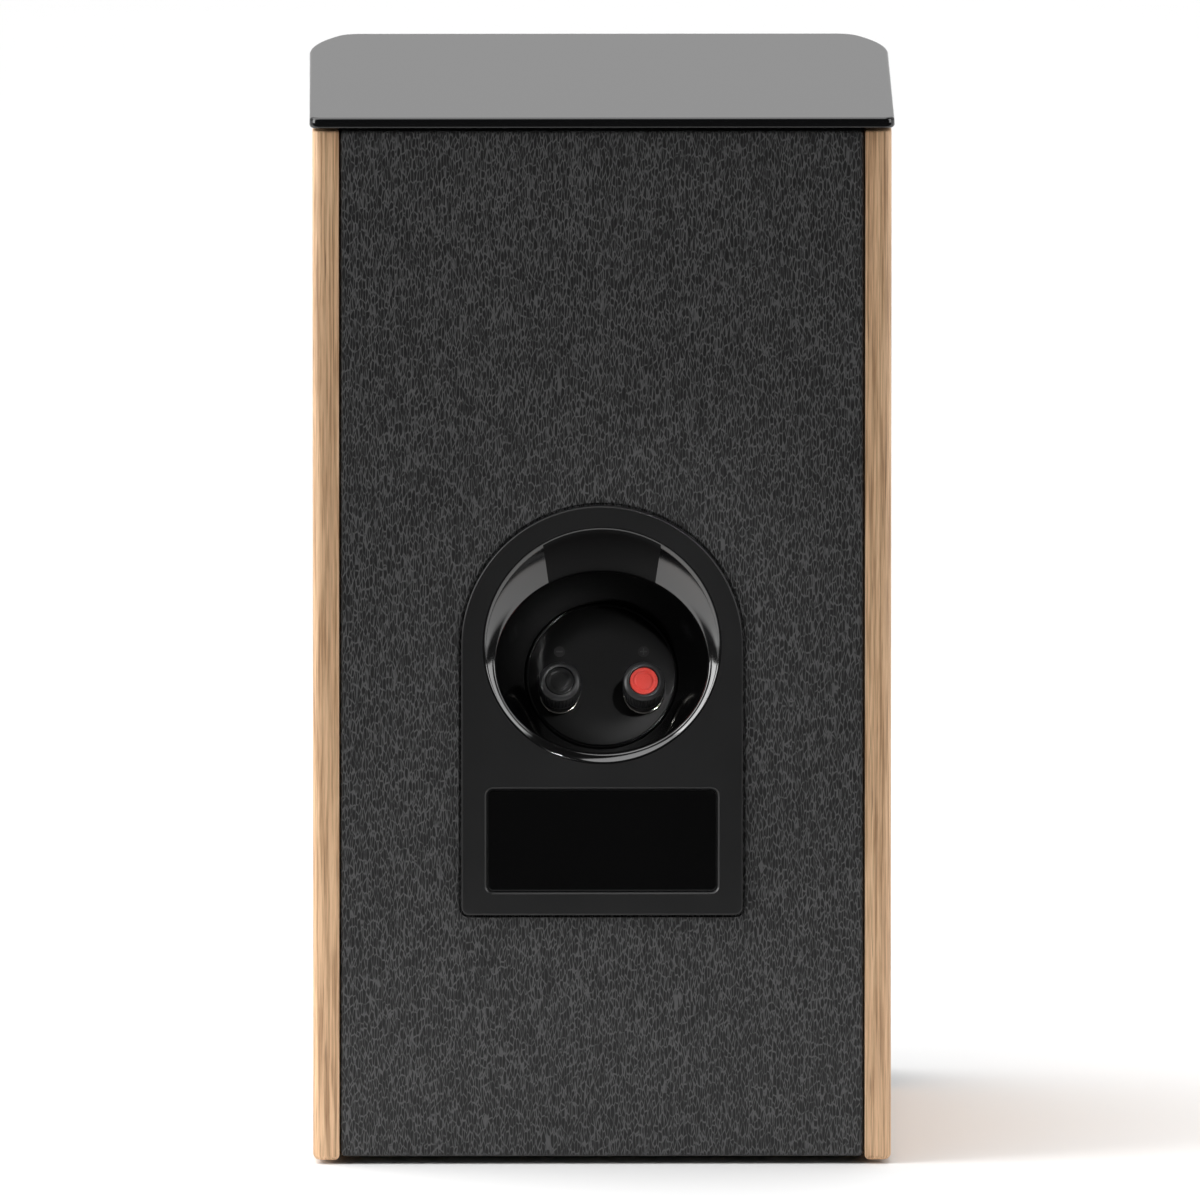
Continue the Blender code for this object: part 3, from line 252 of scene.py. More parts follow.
def fill(shape, loops, index=0):
    """Fill a flat area between an outer loop and any holes in it."""
    edges = [edge for loop in loops for edge in loop_edges(shape, loop)]
    made = bmesh.ops.triangle_fill(shape, use_beauty=True, edges=edges)
    for item in made["geom"]:
        if isinstance(item, bmesh.types.BMFace):
            item.material_index = index


def turned(name, profile, finish, where, sides=ROUND, closed=True, angle=32):
    """Turn a line of (radius, height) points round the Z axis of a frame."""
    shape = bmesh.new()
    rings = []
    for radius, height in profile:
        if radius < 1e-6:
            rings.append([shape.verts.new(where @ Vector((0, 0, height)))])
        else:
            points = [(x, y, height) for x, y in circle(radius, sides)]
            rings.append(add_loop(shape, points, where))
    pairs = list(zip(rings, rings[1:]))
    if closed and profile[0][0] > 1e-6:
        pairs.append((rings[-1], rings[0]))
    for one, other in pairs:
        if len(one) == 1 and len(other) == 1:
            continue
        if len(one) == 1:
            for i in range(sides):
                shape.faces.new((one[0], other[i], other[(i + 1) % sides]))
        elif len(other) == 1:
            for i in range(sides):
                shape.faces.new((one[i], one[(i + 1) % sides], other[0]))
        else:
            bridge(shape, one, other)
    return finish_mesh(name, shape, [finish], angle)


def plate(name, outline, low, high, finish, where=Matrix(), low_edge=0.0, high_edge=0.0, steps=4):
    """A flat piece with rounded edges, from an outline in a frame's XY plane."""
    outline = anticlockwise(outline)
    shape = bmesh.new()
    levels = []
    for level, edge, sign in ((low, low_edge, 1), (high, high_edge, -1)):
        turns = range(steps + 1) if edge else range(1)
        group = []
        for i in turns:
            angle = math.pi / 2 * i / steps
            shrink = edge * (1 - math.sin(angle)) if edge else 0
            group.append((shrink, level + sign * edge * (1 - math.cos(angle))))
        levels.append(group)
    steps_up = levels[0] + list(reversed(levels[1]))
    if low_edge:
        steps_up.insert(0, (low_edge + FLAT_MARGIN, low))
    if high_edge:
        steps_up.append((high_edge + FLAT_MARGIN, high))
    rows = []
    for shrink, level in steps_up:
        rows.append(level_row(inset(outline, shrink) if shrink > 1e-9 else outline, level))
    loops = stack(shape, rows, where)
    fill(shape, [loops[0]])
    fill(shape, [loops[-1]])
    return finish_mesh(name, shape, [finish])


def carve(piece, cutters, operation="DIFFERENCE", angle=32):
    """Cut the cutters out of a piece, or join them to it, and keep the result as its mesh."""
    for cutter in cutters:
        step = piece.modifiers.new(cutter.name, "BOOLEAN")
        step.operation = operation
        step.solver = "EXACT"
        step.object = cutter
    graph = bpy.context.evaluated_depsgraph_get()
    mesh = bpy.data.meshes.new_from_object(piece.evaluated_get(graph))
    piece.modifiers.clear()
    piece.data = mesh
    mesh.name = piece.name
    mesh.shade_smooth()
    mesh.set_sharp_from_angle(angle=math.radians(angle))
    for cutter in cutters:
        bpy.data.objects.remove(cutter)
    return piece


def stands_for(piece, *nodes, body=CABINET, slot=None):
    """The piece rides on a body and replaces the nodes, which are hidden."""
    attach(piece, body)
    if nodes:
        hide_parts(*nodes)
    return piece


# Materials

class Recipe:
    """A material whose node tree is built step by step."""

    def __init__(self, name, colour, roughness, metallic=0.0, **sockets):
        self.material = bpy.data.materials.new(name)
        self.material.use_nodes = True
        self.tree = self.material.node_tree
        self.shader = self.tree.nodes["Principled BSDF"]
        self.set(self.shader, "Base Color", (*colour, 1))
        self.set(self.shader, "Roughness", roughness)
        self.set(self.shader, "Metallic", metallic)
        for socket, value in sockets.items():
            self.set(self.shader, socket.replace("_", " "), value)
        self.place = self.tree.nodes.new("ShaderNodeTexCoord").outputs["Object"]

    def set(self, node, socket, value):
        if isinstance(value, bpy.types.NodeSocket):
            self.tree.links.new(value, node.inputs[socket])
        else:
            node.inputs[socket].default_value = value

    def node(self, kind, settings=None, **sockets):
        made = self.tree.nodes.new("ShaderNode" + kind)
        for key, value in (settings or {}).items():
            setattr(made, key, value)
        for socket, value in sockets.items():
            self.set(made, socket.replace("_", " "), value)
        return made

    def stretch(self, scale, shift=(0, 0, 0), turn=(0, 0, 0)):
        """Object coordinates with each axis scaled."""
        made = self.node("Mapping", Vector=self.place, Scale=scale, Location=shift, Rotation=turn)
        return made.outputs["Vector"]

    def bend(self, vector, amount, scale):
        """The same coordinates, pushed about by a soft noise."""
        push = self.node("TexNoise", Vector=vector, Scale=scale, Detail=2.0).outputs["Color"]
        centred = self.node("VectorMath", {"operation": "SUBTRACT"})
        self.set(centred, 0, push)
        centred.inputs[1].default_value = (0.5, 0.5, 0.5)
        scaled = self.node("VectorMath", {"operation": "SCALE"}, Scale=amount)
        self.set(scaled, 0, centred.outputs[0])
        total = self.node("VectorMath", {"operation": "ADD"})
        self.set(total, 0, vector)
        self.set(total, 1, scaled.outputs[0])
        return total.outputs[0]

    def noise(self, vector, scale, detail=4.0, roughness=0.55):
        made = self.node("TexNoise", Vector=vector, Scale=scale, Detail=detail, Roughness=roughness)
        return made.outputs["Fac"]

    def cells(self, vector, scale, feature="F1", randomness=1.0):
        made = self.node("TexVoronoi", {"feature": feature}, Vector=vector, Scale=scale)
        self.set(made, "Randomness", randomness)
        return made.outputs["Distance"]

    def waves(self, vector, scale, kind="BANDS", direction="X", distortion=0.0, detail=2.0):
        settings = {"wave_type": kind}
        settings["rings_direction" if kind == "RINGS" else "bands_direction"] = direction
        made = self.node("TexWave", settings, Vector=vector, Scale=scale, Distortion=distortion)
        self.set(made, "Detail", detail)
        return made.outputs["Fac"]

    def ramp(self, value, stops):
        """A colour ramp; stops are (place, grey) or (place, red, green, blue)."""
        made = self.node("ValToRGB", Fac=value)
        elements = made.color_ramp.elements
        while len(elements) < len(stops):
            elements.new(0.5)
        for element, stop in zip(elements, stops):
            colour = stop[1:] if len(stop) == 4 else (stop[1],) * 3
            element.position = stop[0]
            element.color = (*colour, 1)
        return made.outputs["Color"]

    def span(self, value, low, high):
        """A value from 0 to 1, stretched to a new range."""
        made = self.node("MapRange", Value=value, To_Min=low, To_Max=high)
        return made.outputs["Result"]

    def maths(self, operation, one, other):
        made = self.node("Math", {"operation": operation})
        self.set(made, 0, one)
        self.set(made, 1, other)
        return made.outputs[0]

    def mix(self, share, one, other, blend="MIX"):
        made = self.node("Mix", {"data_type": "RGBA", "blend_type": blend})
        for index, value in ((0, share), (6, one), (7, other)):
            if isinstance(value, tuple) and len(value) == 3:
                value = (*value, 1)
            if isinstance(value, bpy.types.NodeSocket):
                self.tree.links.new(value, made.inputs[index])
            else:
                made.inputs[index].default_value = value
        return made.outputs[2]

    def bump(self, height, strength, depth, under=None):
        made = self.node("Bump", Height=height, Strength=strength, Distance=depth)
        if under:
            self.set(made, "Normal", under)
        return made.outputs["Normal"]

    def done(self, colour=None, roughness=None, normal=None):
        for socket, value in (("Base Color", colour), ("Roughness", roughness), ("Normal", normal)):
            if value is not None:
                self.set(self.shader, socket, value)
        return self.material


def oak_material():
    """Pale oak veneer: long vertical fibres, cathedral figure, fine dark pores."""
    r = Recipe("oak_veneer", (0.58, 0.37, 0.22), 0.46)
    long = r.stretch((1, 1, 0.03))
    figure_place = r.bend(r.stretch((0.25, 1, 0.13), shift=(0, 0.014, -0.022)), 0.010, 26)
    figure = r.waves(figure_place, 34, "RINGS", "X", 3.5, 3.0)
    streaks = r.noise(long, 640, 6, 0.75)
    fibres = r.noise(r.stretch((1, 1, 0.02)), 1100, 3, 0.6)
    patches = r.noise(r.stretch((1, 1, 0.35)), 14, 2, 0.5)
    grain = [(0.35, 0.33, 0.172, 0.080), (0.49, 0.72, 0.425, 0.222), (0.61, 0.97, 0.655, 0.385)]
    colour = r.ramp(streaks, grain)
    colour = r.mix(0.22, colour, r.ramp(figure, [(0.15, 0.40, 0.220, 0.11), (0.65, 0.74, 0.47, 0.27)]))
    colour = r.mix(0.45, colour, r.ramp(fibres, [(0.38, 0.24, 0.125, 0.06), (0.56, 0.98, 0.67, 0.42)]))
    colour = r.mix(0.5, colour, r.ramp(patches, [(0.3, 0.82), (0.7, 1.0)]), "MULTIPLY")
    pore_place = r.bend(r.stretch((1, 1, 0.035)), 0.0006, 90)
    pores = r.ramp(r.cells(pore_place, 900), [(0.10, 1.0), (0.22, 0.0)])
    gate = r.ramp(r.noise(long, 420, 2), [(0.50, 0.0), (0.60, 1.0)])
    marks = r.maths("MULTIPLY", pores, gate)
    colour = r.mix(r.maths("MULTIPLY", marks, 0.75), colour, (0.20, 0.105, 0.05))
    height = r.maths("SUBTRACT", fibres, marks)
    normal = r.bump(height, 0.35, 0.00012)
    return r.done(colour, r.span(streaks, 0.40, 0.56), normal)


def leatherette_material():
    """Black vinyl with a fine upright wrinkle grain; the ridges are painted light grey as highlights."""
    r = Recipe("black_leatherette", (0.034, 0.034, 0.035), 0.5, Specular_IOR_Level=0.5)
    place = r.bend(r.stretch((1, 1, 0.27)), 0.0007, 380)
    ridge_lines = r.ramp(r.cells(place, 980, "DISTANCE_TO_EDGE"), [(0.0, 1.0), (0.17, 0.0)])
    wrinkle = r.noise(place, 900, 3, 0.6)
    gate = r.ramp(r.noise(r.stretch((1, 1, 0.5)), 500, 2), [(0.36, 0.55), (0.56, 1.0)])
    height = r.maths("MULTIPLY", ridge_lines, gate)
    total = r.maths("ADD", height, r.maths("MULTIPLY", wrinkle, 0.5))
    broad = r.noise(r.place, 30, 2)
    # The colour ramp paints the wrinkle ridges light grey over a near-black ground: painted highlights.
    ridge_highlight_greys = [(0.20, 0.003, 0.003, 0.0031), (0.55, 0.015, 0.015, 0.0155), (1.0, 0.088, 0.088, 0.089)]
    colour = r.ramp(total, ridge_highlight_greys)
    colour = r.mix(0.25, colour, r.ramp(broad, [(0.3, 0.75), (0.7, 1.0)]), "MULTIPLY")
    normal = r.bump(total, 0.6, 0.00020)
    return r.done(colour, r.span(wrinkle, 0.46, 0.68), normal)


def plastic_material(name, colour, roughness, texture=0.12, grain=2200, gloss=0.5):
    """Moulded plastic: a fine spark-eroded texture, faint flow marks and rubbed patches."""
    r = Recipe(name, colour, roughness, Specular_IOR_Level=gloss)
    fine = r.noise(r.place, grain, 3)
    flow = r.noise(r.place, 45, 2)
    tint = r.mix(0.35, (*colour, 1), r.ramp(flow, [(0.3, 0.8), (0.7, 1.0)]), "MULTIPLY")
    rough = r.span(r.maths("ADD", r.maths("MULTIPLY", fine, 0.6), r.maths("MULTIPLY", flow, 0.4)),
                   roughness * 0.8, roughness * 1.2)
    return r.done(tint, rough, r.bump(fine, texture, 0.00004))


def glass_material():
    """Black-backed glass, with the faint smear that any glass shelf has."""
    r = Recipe("black_glass", (0.004, 0.004, 0.0045), 0.035, IOR=1.52, Specular_IOR_Level=0.5)
    smear = r.noise(r.stretch((1, 2.2, 1)), 16, 5, 0.6)
    dust = r.ramp(r.noise(r.place, 1400, 2), [(0.66, 0.0), (0.74, 1.0)])
    rough = r.maths("ADD", r.span(smear, 0.02, 0.07), r.maths("MULTIPLY", dust, 0.06))
    colour = r.mix(dust, (0.004, 0.004, 0.0045), (0.012, 0.012, 0.012))
    return r.done(colour, rough)


def rubber_material(name="black_rubber", colour=(0.018, 0.018, 0.018), roughness=0.62):
    r = Recipe(name, colour, roughness, Sheen_Weight=0.15)
    fine = r.noise(r.place, 3200, 3)
    bloom = r.noise(r.place, 60, 3)
    tint = r.mix(0.4, (*colour, 1), r.ramp(bloom, [(0.3, 0.7), (0.7, 1.0)]), "MULTIPLY")
    return r.done(tint, r.span(bloom, roughness - 0.08, roughness + 0.08), r.bump(fine, 0.2, 0.00005))


def metal_material(name, colour, roughness, scratches=0.3):
    """Turned or plated metal with hairlines and a little tarnish."""
    r = Recipe(name, colour, roughness, 1.0)
    hair = r.noise(r.stretch((1, 1, 14)), 420, 4, 0.7)
    tarnish = r.noise(r.place, 120, 3)
    tint = r.mix(0.4, (*colour, 1), r.ramp(tarnish, [(0.35, 0.78), (0.65, 1.0)]), "MULTIPLY")
    rough = r.span(r.maths("MULTIPLY", hair, tarnish), roughness * 0.7, roughness * 1.8)
    return r.done(tint, rough, r.bump(hair, scratches * 0.3, 0.00002))


def cone_material():
    """Coated paper pulp: soft fibres under a thin satin layer."""
    r = Recipe("coated_paper_cone", (0.022, 0.022, 0.024), 0.48, Coat_Weight=0.2, Coat_Roughness=0.35)
    fibres = r.noise(r.bend(r.place, 0.002, 300), 1100, 6, 0.7)
    clumps = r.noise(r.place, 170, 4)
    colour = r.ramp(r.maths("MULTIPLY", fibres, r.maths("ADD", clumps, 0.5)),
                    [(0.3, 0.012, 0.012, 0.013), (0.7, 0.036, 0.036, 0.038)])
    return r.done(colour, r.span(fibres, 0.38, 0.6), r.bump(fibres, 0.5, 0.00016))


def cloth_material(name, colour, threads, roughness=0.75):
    """A plain weave of two crossing sets of threads."""
    r = Recipe(name, colour, roughness, Sheen_Weight=0.3)
    warp = r.waves(r.place, threads, direction="X")
    weft = r.waves(r.place, threads, direction="Z")
    weave = r.maths("MAXIMUM", warp, weft)
    dark = tuple(0.45 * part for part in colour)
    tint = r.mix(r.noise(r.place, 300, 3), r.mix(weave, dark, colour), colour)
    return r.done(tint, r.span(weave, roughness + 0.1, roughness - 0.1), r.bump(weave, 0.5, 0.00012))


def wadding_material():
    """Tangled white polyester fibre."""
    r = Recipe("polyester_wadding", (0.80, 0.80, 0.77), 0.95, Sheen_Weight=0.5)
    tangle = r.noise(r.bend(r.place, 0.01, 90), 420, 8, 0.75)
    tint = r.ramp(tangle, [(0.3, 0.55, 0.55, 0.53), (0.65, 0.86, 0.86, 0.83)])
    return r.done(tint, None, r.bump(tangle, 0.9, 0.0012))


def board_material():
    """Bare medium-density board: pressed brown fibre."""
    r = Recipe("pressed_board", (0.42, 0.30, 0.19), 0.8)
    fibre = r.noise(r.place, 900, 8, 0.7)
    patches = r.noise(r.place, 40, 3)
    tint = r.ramp(fibre, [(0.3, 0.30, 0.205, 0.12), (0.7, 0.50, 0.37, 0.24)])
    tint = r.mix(0.4, tint, r.ramp(patches, [(0.3, 0.8), (0.7, 1.0)]), "MULTIPLY")
    return r.done(tint, None, r.bump(fibre, 0.4, 0.0002))


def winding_material():
    """Enamelled copper wire, wound in fine turns."""
    r = Recipe("enamelled_copper", (0.62, 0.25, 0.10), 0.28, 1.0)
    turns = r.waves(r.place, 520, direction="Y")
    tint = r.mix(turns, (0.26, 0.09, 0.03), (0.72, 0.32, 0.13))
    return r.done(tint, r.span(turns, 0.4, 0.22), r.bump(turns, 0.8, 0.0003))


def circuit_material():
    """Green-brown board with darker tracks."""
    r = Recipe("circuit_board", (0.07, 0.12, 0.04), 0.45)
    tracks = r.ramp(r.cells(r.place, 90, "DISTANCE_TO_EDGE"), [(0.04, 1.0), (0.08, 0.0)])
    tint = r.mix(tracks, (0.05, 0.10, 0.035), (0.30, 0.20, 0.07))
    return r.done(tint, r.span(r.noise(r.place, 200), 0.35, 0.6), r.bump(tracks, 0.4, 0.00008))


def ferrite_material():
    r = Recipe("ferrite", (0.045, 0.045, 0.05), 0.6)
    grit = r.noise(r.place, 1600, 5)
    tint = r.ramp(grit, [(0.3, 0.028, 0.028, 0.032), (0.7, 0.07, 0.07, 0.075)])
    return r.done(tint, r.span(grit, 0.5, 0.8), r.bump(grit, 0.5, 0.0001))


OAK = oak_material()
LEATHERETTE = leatherette_material()
GLASS = glass_material()
SATIN = plastic_material("satin_black_plastic", (0.0115, 0.0115, 0.0118), 0.36)
GLOSS = plastic_material("gloss_black_plastic", (0.002, 0.002, 0.0021), 0.09, texture=0.02, gloss=1.0)
HOOD = plastic_material("dull_black_hood", (0.002, 0.002, 0.0021), 0.34, texture=0.04, gloss=0.12)
# The disc has the plate's satin plastic, its colour painted far darker: painted shade that offsets the bowl
# spot light.
DISC_SATIN_SHADED = plastic_material("satin_disc_shaded", (0.0015, 0.0015, 0.0016), 0.42, texture=0.10, gloss=0.28)
LABEL = plastic_material("gloss_black_label", (0.0015, 0.0015, 0.0016), 0.16, texture=0.02, gloss=0.3)
KNOB = plastic_material("dark_grey_knob", (0.036, 0.036, 0.037), 0.30, texture=0.05)
RED = plastic_material("red_plastic", (0.97, 0.085, 0.065), 0.28, texture=0.04)
BLACK_PLUG = plastic_material("black_plug_plastic", (0.008, 0.008, 0.008), 0.25, texture=0.04)
# A dark circle under each of the minus and plus signs.
MARK_DARK = plastic_material("dark_mark", (0.002, 0.002, 0.002), 0.5, texture=0.05)
RUBBER = rubber_material()
ROLL_RUBBER = rubber_material("surround_rubber", (0.014, 0.014, 0.015), 0.48)
NICKEL = metal_material("nickel_plate", (0.80, 0.77, 0.72), 0.12)
STEEL = metal_material("zinc_steel", (0.56, 0.56, 0.57), 0.30)
SCREW_STEEL = metal_material("blackened_steel", (0.07, 0.07, 0.075), 0.32)
NEODYMIUM = metal_material("nickel_neodymium", (0.62, 0.62, 0.64), 0.18)
RING_GLOSS = plastic_material("semi_gloss_ring", (0.010, 0.010, 0.0105), 0.22, texture=0.05)
CONE = cone_material()
CAP = plastic_material("dust_cap_film", (0.016, 0.016, 0.017), 0.34, texture=0.15, grain=1500)
DOME = cloth_material("black_silk_dome", (0.014, 0.014, 0.015), 900, 0.55)
SPIDER = cloth_material("spider_cotton", (0.50, 0.36, 0.14), 420, 0.85)
WADDING = wadding_material()
BOARD = board_material()
COPPER = winding_material()
CIRCUIT = circuit_material()
FERRITE = ferrite_material()
FILM = plastic_material("capacitor_film", (0.52, 0.30, 0.05), 0.35, texture=0.1)
SHEATH = rubber_material("lead_sheath", (0.03, 0.03, 0.034), 0.45)


# Places, read from the CAD model

side_low, side_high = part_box("right_side_panel")
baffle_low, baffle_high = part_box("front_baffle")
rear_low, rear_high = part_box("rear_panel")
cup_low, cup_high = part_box("terminal_cup")
glass_low, glass_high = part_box("glass_top")
HALF_WIDTH = side_high.x
FLOOR_Z = side_low.z
ROOF_Z = side_high.z
FRONT_Y = baffle_low.y
BAFFLE_BACK_Y = baffle_high.y
REAR_Y = side_high.y
REAR_FACE_Y = rear_high.y
CUP_FACE_Y = cup_high.y
RIM_Z = cup_low.z + CUP_TAIL


def front_frame(node):
    """Frame on the baffle's face, level with the middle of a CAD node, with Z out of the front."""
    low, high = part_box(node)
    middle = (low + high) / 2
    return Matrix.Translation((middle.x, FRONT_Y, middle.z)) @ Matrix.Rotation(math.pi / 2, 4, "X")


REAR = Matrix.Translation((0, CUP_FACE_Y, RIM_Z)) @ Matrix.Rotation(math.pi, 4, "Z") \
    @ Matrix.Rotation(math.pi / 2, 4, "X")
DISC = REAR @ Matrix.Translation((0, -DISC_DROP, -DISC_DEPTH)) @ Matrix.Rotation(-DISC_TILT, 4, "X")
WOOFER = front_frame("woofer_magnet")
TWEETER = front_frame("tweeter_magnet")
PORT = front_frame("port_duct")


# Cabinet

def side_panels():
    """Oak sides: their rear lips frame the rear panel."""
    rebate_y = rear_low.y - GAP
    start_y = BAFFLE_BACK_Y + GAP
    inner = HALF_WIDTH - (side_high.x - side_low.x)
    points = [
        (HALF_WIDTH, start_y), (HALF_WIDTH, REAR_Y, 1.5 * EDGE_ROUND),
        (HALF_WIDTH - SIDE_LIP, REAR_Y), (HALF_WIDTH - SIDE_LIP, rebate_y),
        (inner, rebate_y), (inner, start_y),
    ]
    outline = eased(points, steps=10)
    for name, side in (("right", 1), ("left", -1)):
        flat = [(side * x, y) for x, y in outline]
        piece = plate(name + "_oak_side", flat, FLOOR_Z, ROOF_Z, OAK,
                      low_edge=0.0022, high_edge=0.0008, steps=6)
        stands_for(piece, name + "_side_panel")


def arch_outline(grow=0.0, steps=96):
    """The cup's outline as seen from behind, round the middle of its rim."""
    half = cup_high.x + grow
    corner = CUP_CORNER + grow
    tail = -CUP_TAIL - grow
    points = arc((0, 0), half, 0, 180, steps)
    points += arc((-half + corner, tail + corner), corner, 180, 270, 8)
    points += arc((half - corner, tail + corner), corner, 270, 360, 8)
    return points


def rear_panel():
    """Leatherette board with a shallow pocket for the cup, its skin rolled over the edges."""
    half = rear_high.x
    top = ROOF_Z - RIM_Z
    foot = rear_low.z - RIM_Z
    low = rear_low.y - CUP_FACE_Y
    face = REAR_FACE_Y - CUP_FACE_Y
    outline = rounded_rectangle(half, (top - foot) / 2, 0.0018, 4, (0, (top + foot) / 2))
    panel = plate("rear_leatherette", outline, low, face, LEATHERETTE, REAR, 0.0003, PANEL_EDGE, 5)
    pocket = plate("pocket", arch_outline(CUP_GAP), face - CUP_POCKET, 0.01, LEATHERETTE, REAR)
    hole = plate("hole", circle(RIM_RADIUS + CUP_WALL + FIT, ROUND), 2 * low, 0.01, LEATHERETTE, REAR)
    carve(panel, [pocket, hole])
    stands_for(panel, "rear_panel")


def turned_block(name, radius, low, high, where, sides=ROUND):
    profile = [(0, high), (radius, high), (radius, low), (0, low)]
    return turned(name, profile, LEATHERETTE, where, sides)


def front_baffle():
    """Leatherette block with swept sides, cut for the drivers and the port."""
    outline = mirrored(swept_front(0.0, FRONT_Y, BAFFLE_BACK_Y, HALF_WIDTH))
    baffle = plate("front_leatherette", outline, FLOOR_Z, ROOF_Z, LEATHERETTE,
                   low_edge=PANEL_EDGE, high_edge=PANEL_EDGE)
    wall = rear_high.y - rear_low.y
    middle_z = (FLOOR_Z + ROOF_Z) / 2
    half_z = (ROOF_Z - FLOOR_Z) / 2 - wall
    pocket = plate("pocket", rounded_rectangle(HALF_WIDTH - wall, half_z, 0.001, 1, (0, middle_z)),
                   -BAFFLE_BACK_Y - wall, -FRONT_Y - BAFFLE_THICKNESS, LEATHERETTE,
                   Matrix.Rotation(math.pi / 2, 4, "X"))
    through = -2 * BAFFLE_THICKNESS
    front = BAFFLE_THICKNESS
    cutters = [pocket]
    for node, depth, where in (("woofer_gasket", 0.006, WOOFER), ("tweeter_faceplate", 0.0043, TWEETER)):
        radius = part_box(node)[1].x + FIT
        cutters.append(turned_block(node + "_rebate", radius, -depth, front, where))
    cutters.append(turned_block("woofer_hole", BASKET_RADIUS + FIT, through, front, WOOFER))
    cutters.append(turned_block("tweeter_hole", BOSS_RADIUS + FIT, through, front, TWEETER))
    for grow, low in ((PORT_WALL + GAP, through), (PORT_WALL + PORT_LIP + GAP, -PORT_LIP_DEPTH - GAP)):
        hole = rounded_rectangle(PORT_HALF_WIDTH + grow, PORT_HALF_HEIGHT + grow, PORT_CORNER + grow, 12)
        cutters.append(plate("port_hole", hole, low, front, LEATHERETTE, PORT))
    carve(baffle, cutters)
    stands_for(baffle, "front_baffle")


def glass_sheet():
    """Thick black glass with pencil-ground edges."""
    edge = HALF_WIDTH + GLASS_SIDE_OVERHANG
    rear_y = REAR_Y + GLASS_END_OVERHANG
    half = arc((edge - GLASS_CORNER, rear_y - GLASS_CORNER), GLASS_CORNER, 90, 0, 12)
    half += swept_front(GLASS_SIDE_OVERHANG, FRONT_Y - GLASS_END_OVERHANG, BAFFLE_BACK_Y, HALF_WIDTH)
    piece = plate("glass_sheet", mirrored(half), glass_low.z, glass_high.z, GLASS,
                  low_edge=GLASS_EDGE, high_edge=GLASS_EDGE, steps=6)
    stands_for(piece, "glass_top")


def feet():
    for number in range(1, 5):
        low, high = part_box(f"foot_{number}")
        middle = (low + high) / 2
        radius = (high.x - low.x) / 2
        tall = high.z
        points = [
            (0, tall), (radius, tall, 0.0002), (radius, 0, 0.0004), (0.78 * radius, 0, 0.0002),
            (0.74 * radius, 0.0004), (0, 0.0004),
        ]
        where = Matrix.Translation((middle.x, middle.y, 0))
        piece = turned(f"rubber_foot_{number}", eased(points), RUBBER, where, SMALL_ROUND)
        stands_for(piece, f"foot_{number}")


# Terminal cup

def crease_point(angle):
    """Inner edge of the flare: an oval below the rim's middle, as deep as the flare falls to it."""
    x = CREASE_WIDTH * math.cos(angle)
    y = CREASE_RISE * math.sin(angle) - CREASE_DROP
    return Vector((x, y, -FLARE_SLOPE * (RIM_RADIUS - math.hypot(x, y))))


def floor_point(angle, radius, height):
    """A point on the tilted disc, in the cup's own frame."""
    up = radius * math.sin(angle)
    y = up * math.cos(DISC_TILT) + height * math.sin(DISC_TILT) - DISC_DROP
    z = height * math.cos(DISC_TILT) - up * math.sin(DISC_TILT) - DISC_DEPTH
    return Vector((radius * math.cos(angle), y, z))


def bezier(start, middle, end, t):
    return start * (1 - t) ** 2 + middle * (2 * t * (1 - t)) + end * t ** 2


def bowl_line(angle):
    """From the plate's face over the rim, down the flare, round the crease, down the well."""
    out = Vector((math.cos(angle), math.sin(angle), 0))
    rim = out * RIM_RADIUS
    crease = crease_point(angle)
    bottom = floor_point(angle, DISC_RADIUS + FIT, -DISC_STEP)
    soft = 0.0011
    fall = (crease - rim).normalized()
    line = [bezier(rim + out * RIM_EASE, rim, rim + fall * RIM_EASE, i / 4) for i in range(5)]
    flare_end = crease - fall * soft
    dip = 0.0010
    for i in range(1, 8):
        t = i / 8
        spot = line[4].lerp(flare_end, t)
        spot.z -= dip * 4 * t * (1 - t) * min(1.0, (flare_end - line[4]).length / 0.02)
        line.append(spot)
    drop = (bottom - crease).normalized()
    line += [bezier(flare_end, crease, crease + drop * soft, i / 6) for i in range(7)]
    well_start = line[-1].copy()
    for i in range(1, 8):
        line.append(well_start.lerp(bottom, i / 8))
    line.append(bottom)
    return line


FLARE_ROW = 4  # the row of the bowl line where the flare starts
WELL_ROW = 17  # the row, inside the crease, where the hood's finish ends
HOOD_START = 60  # degrees round the rim, from level, where the duller hood begins


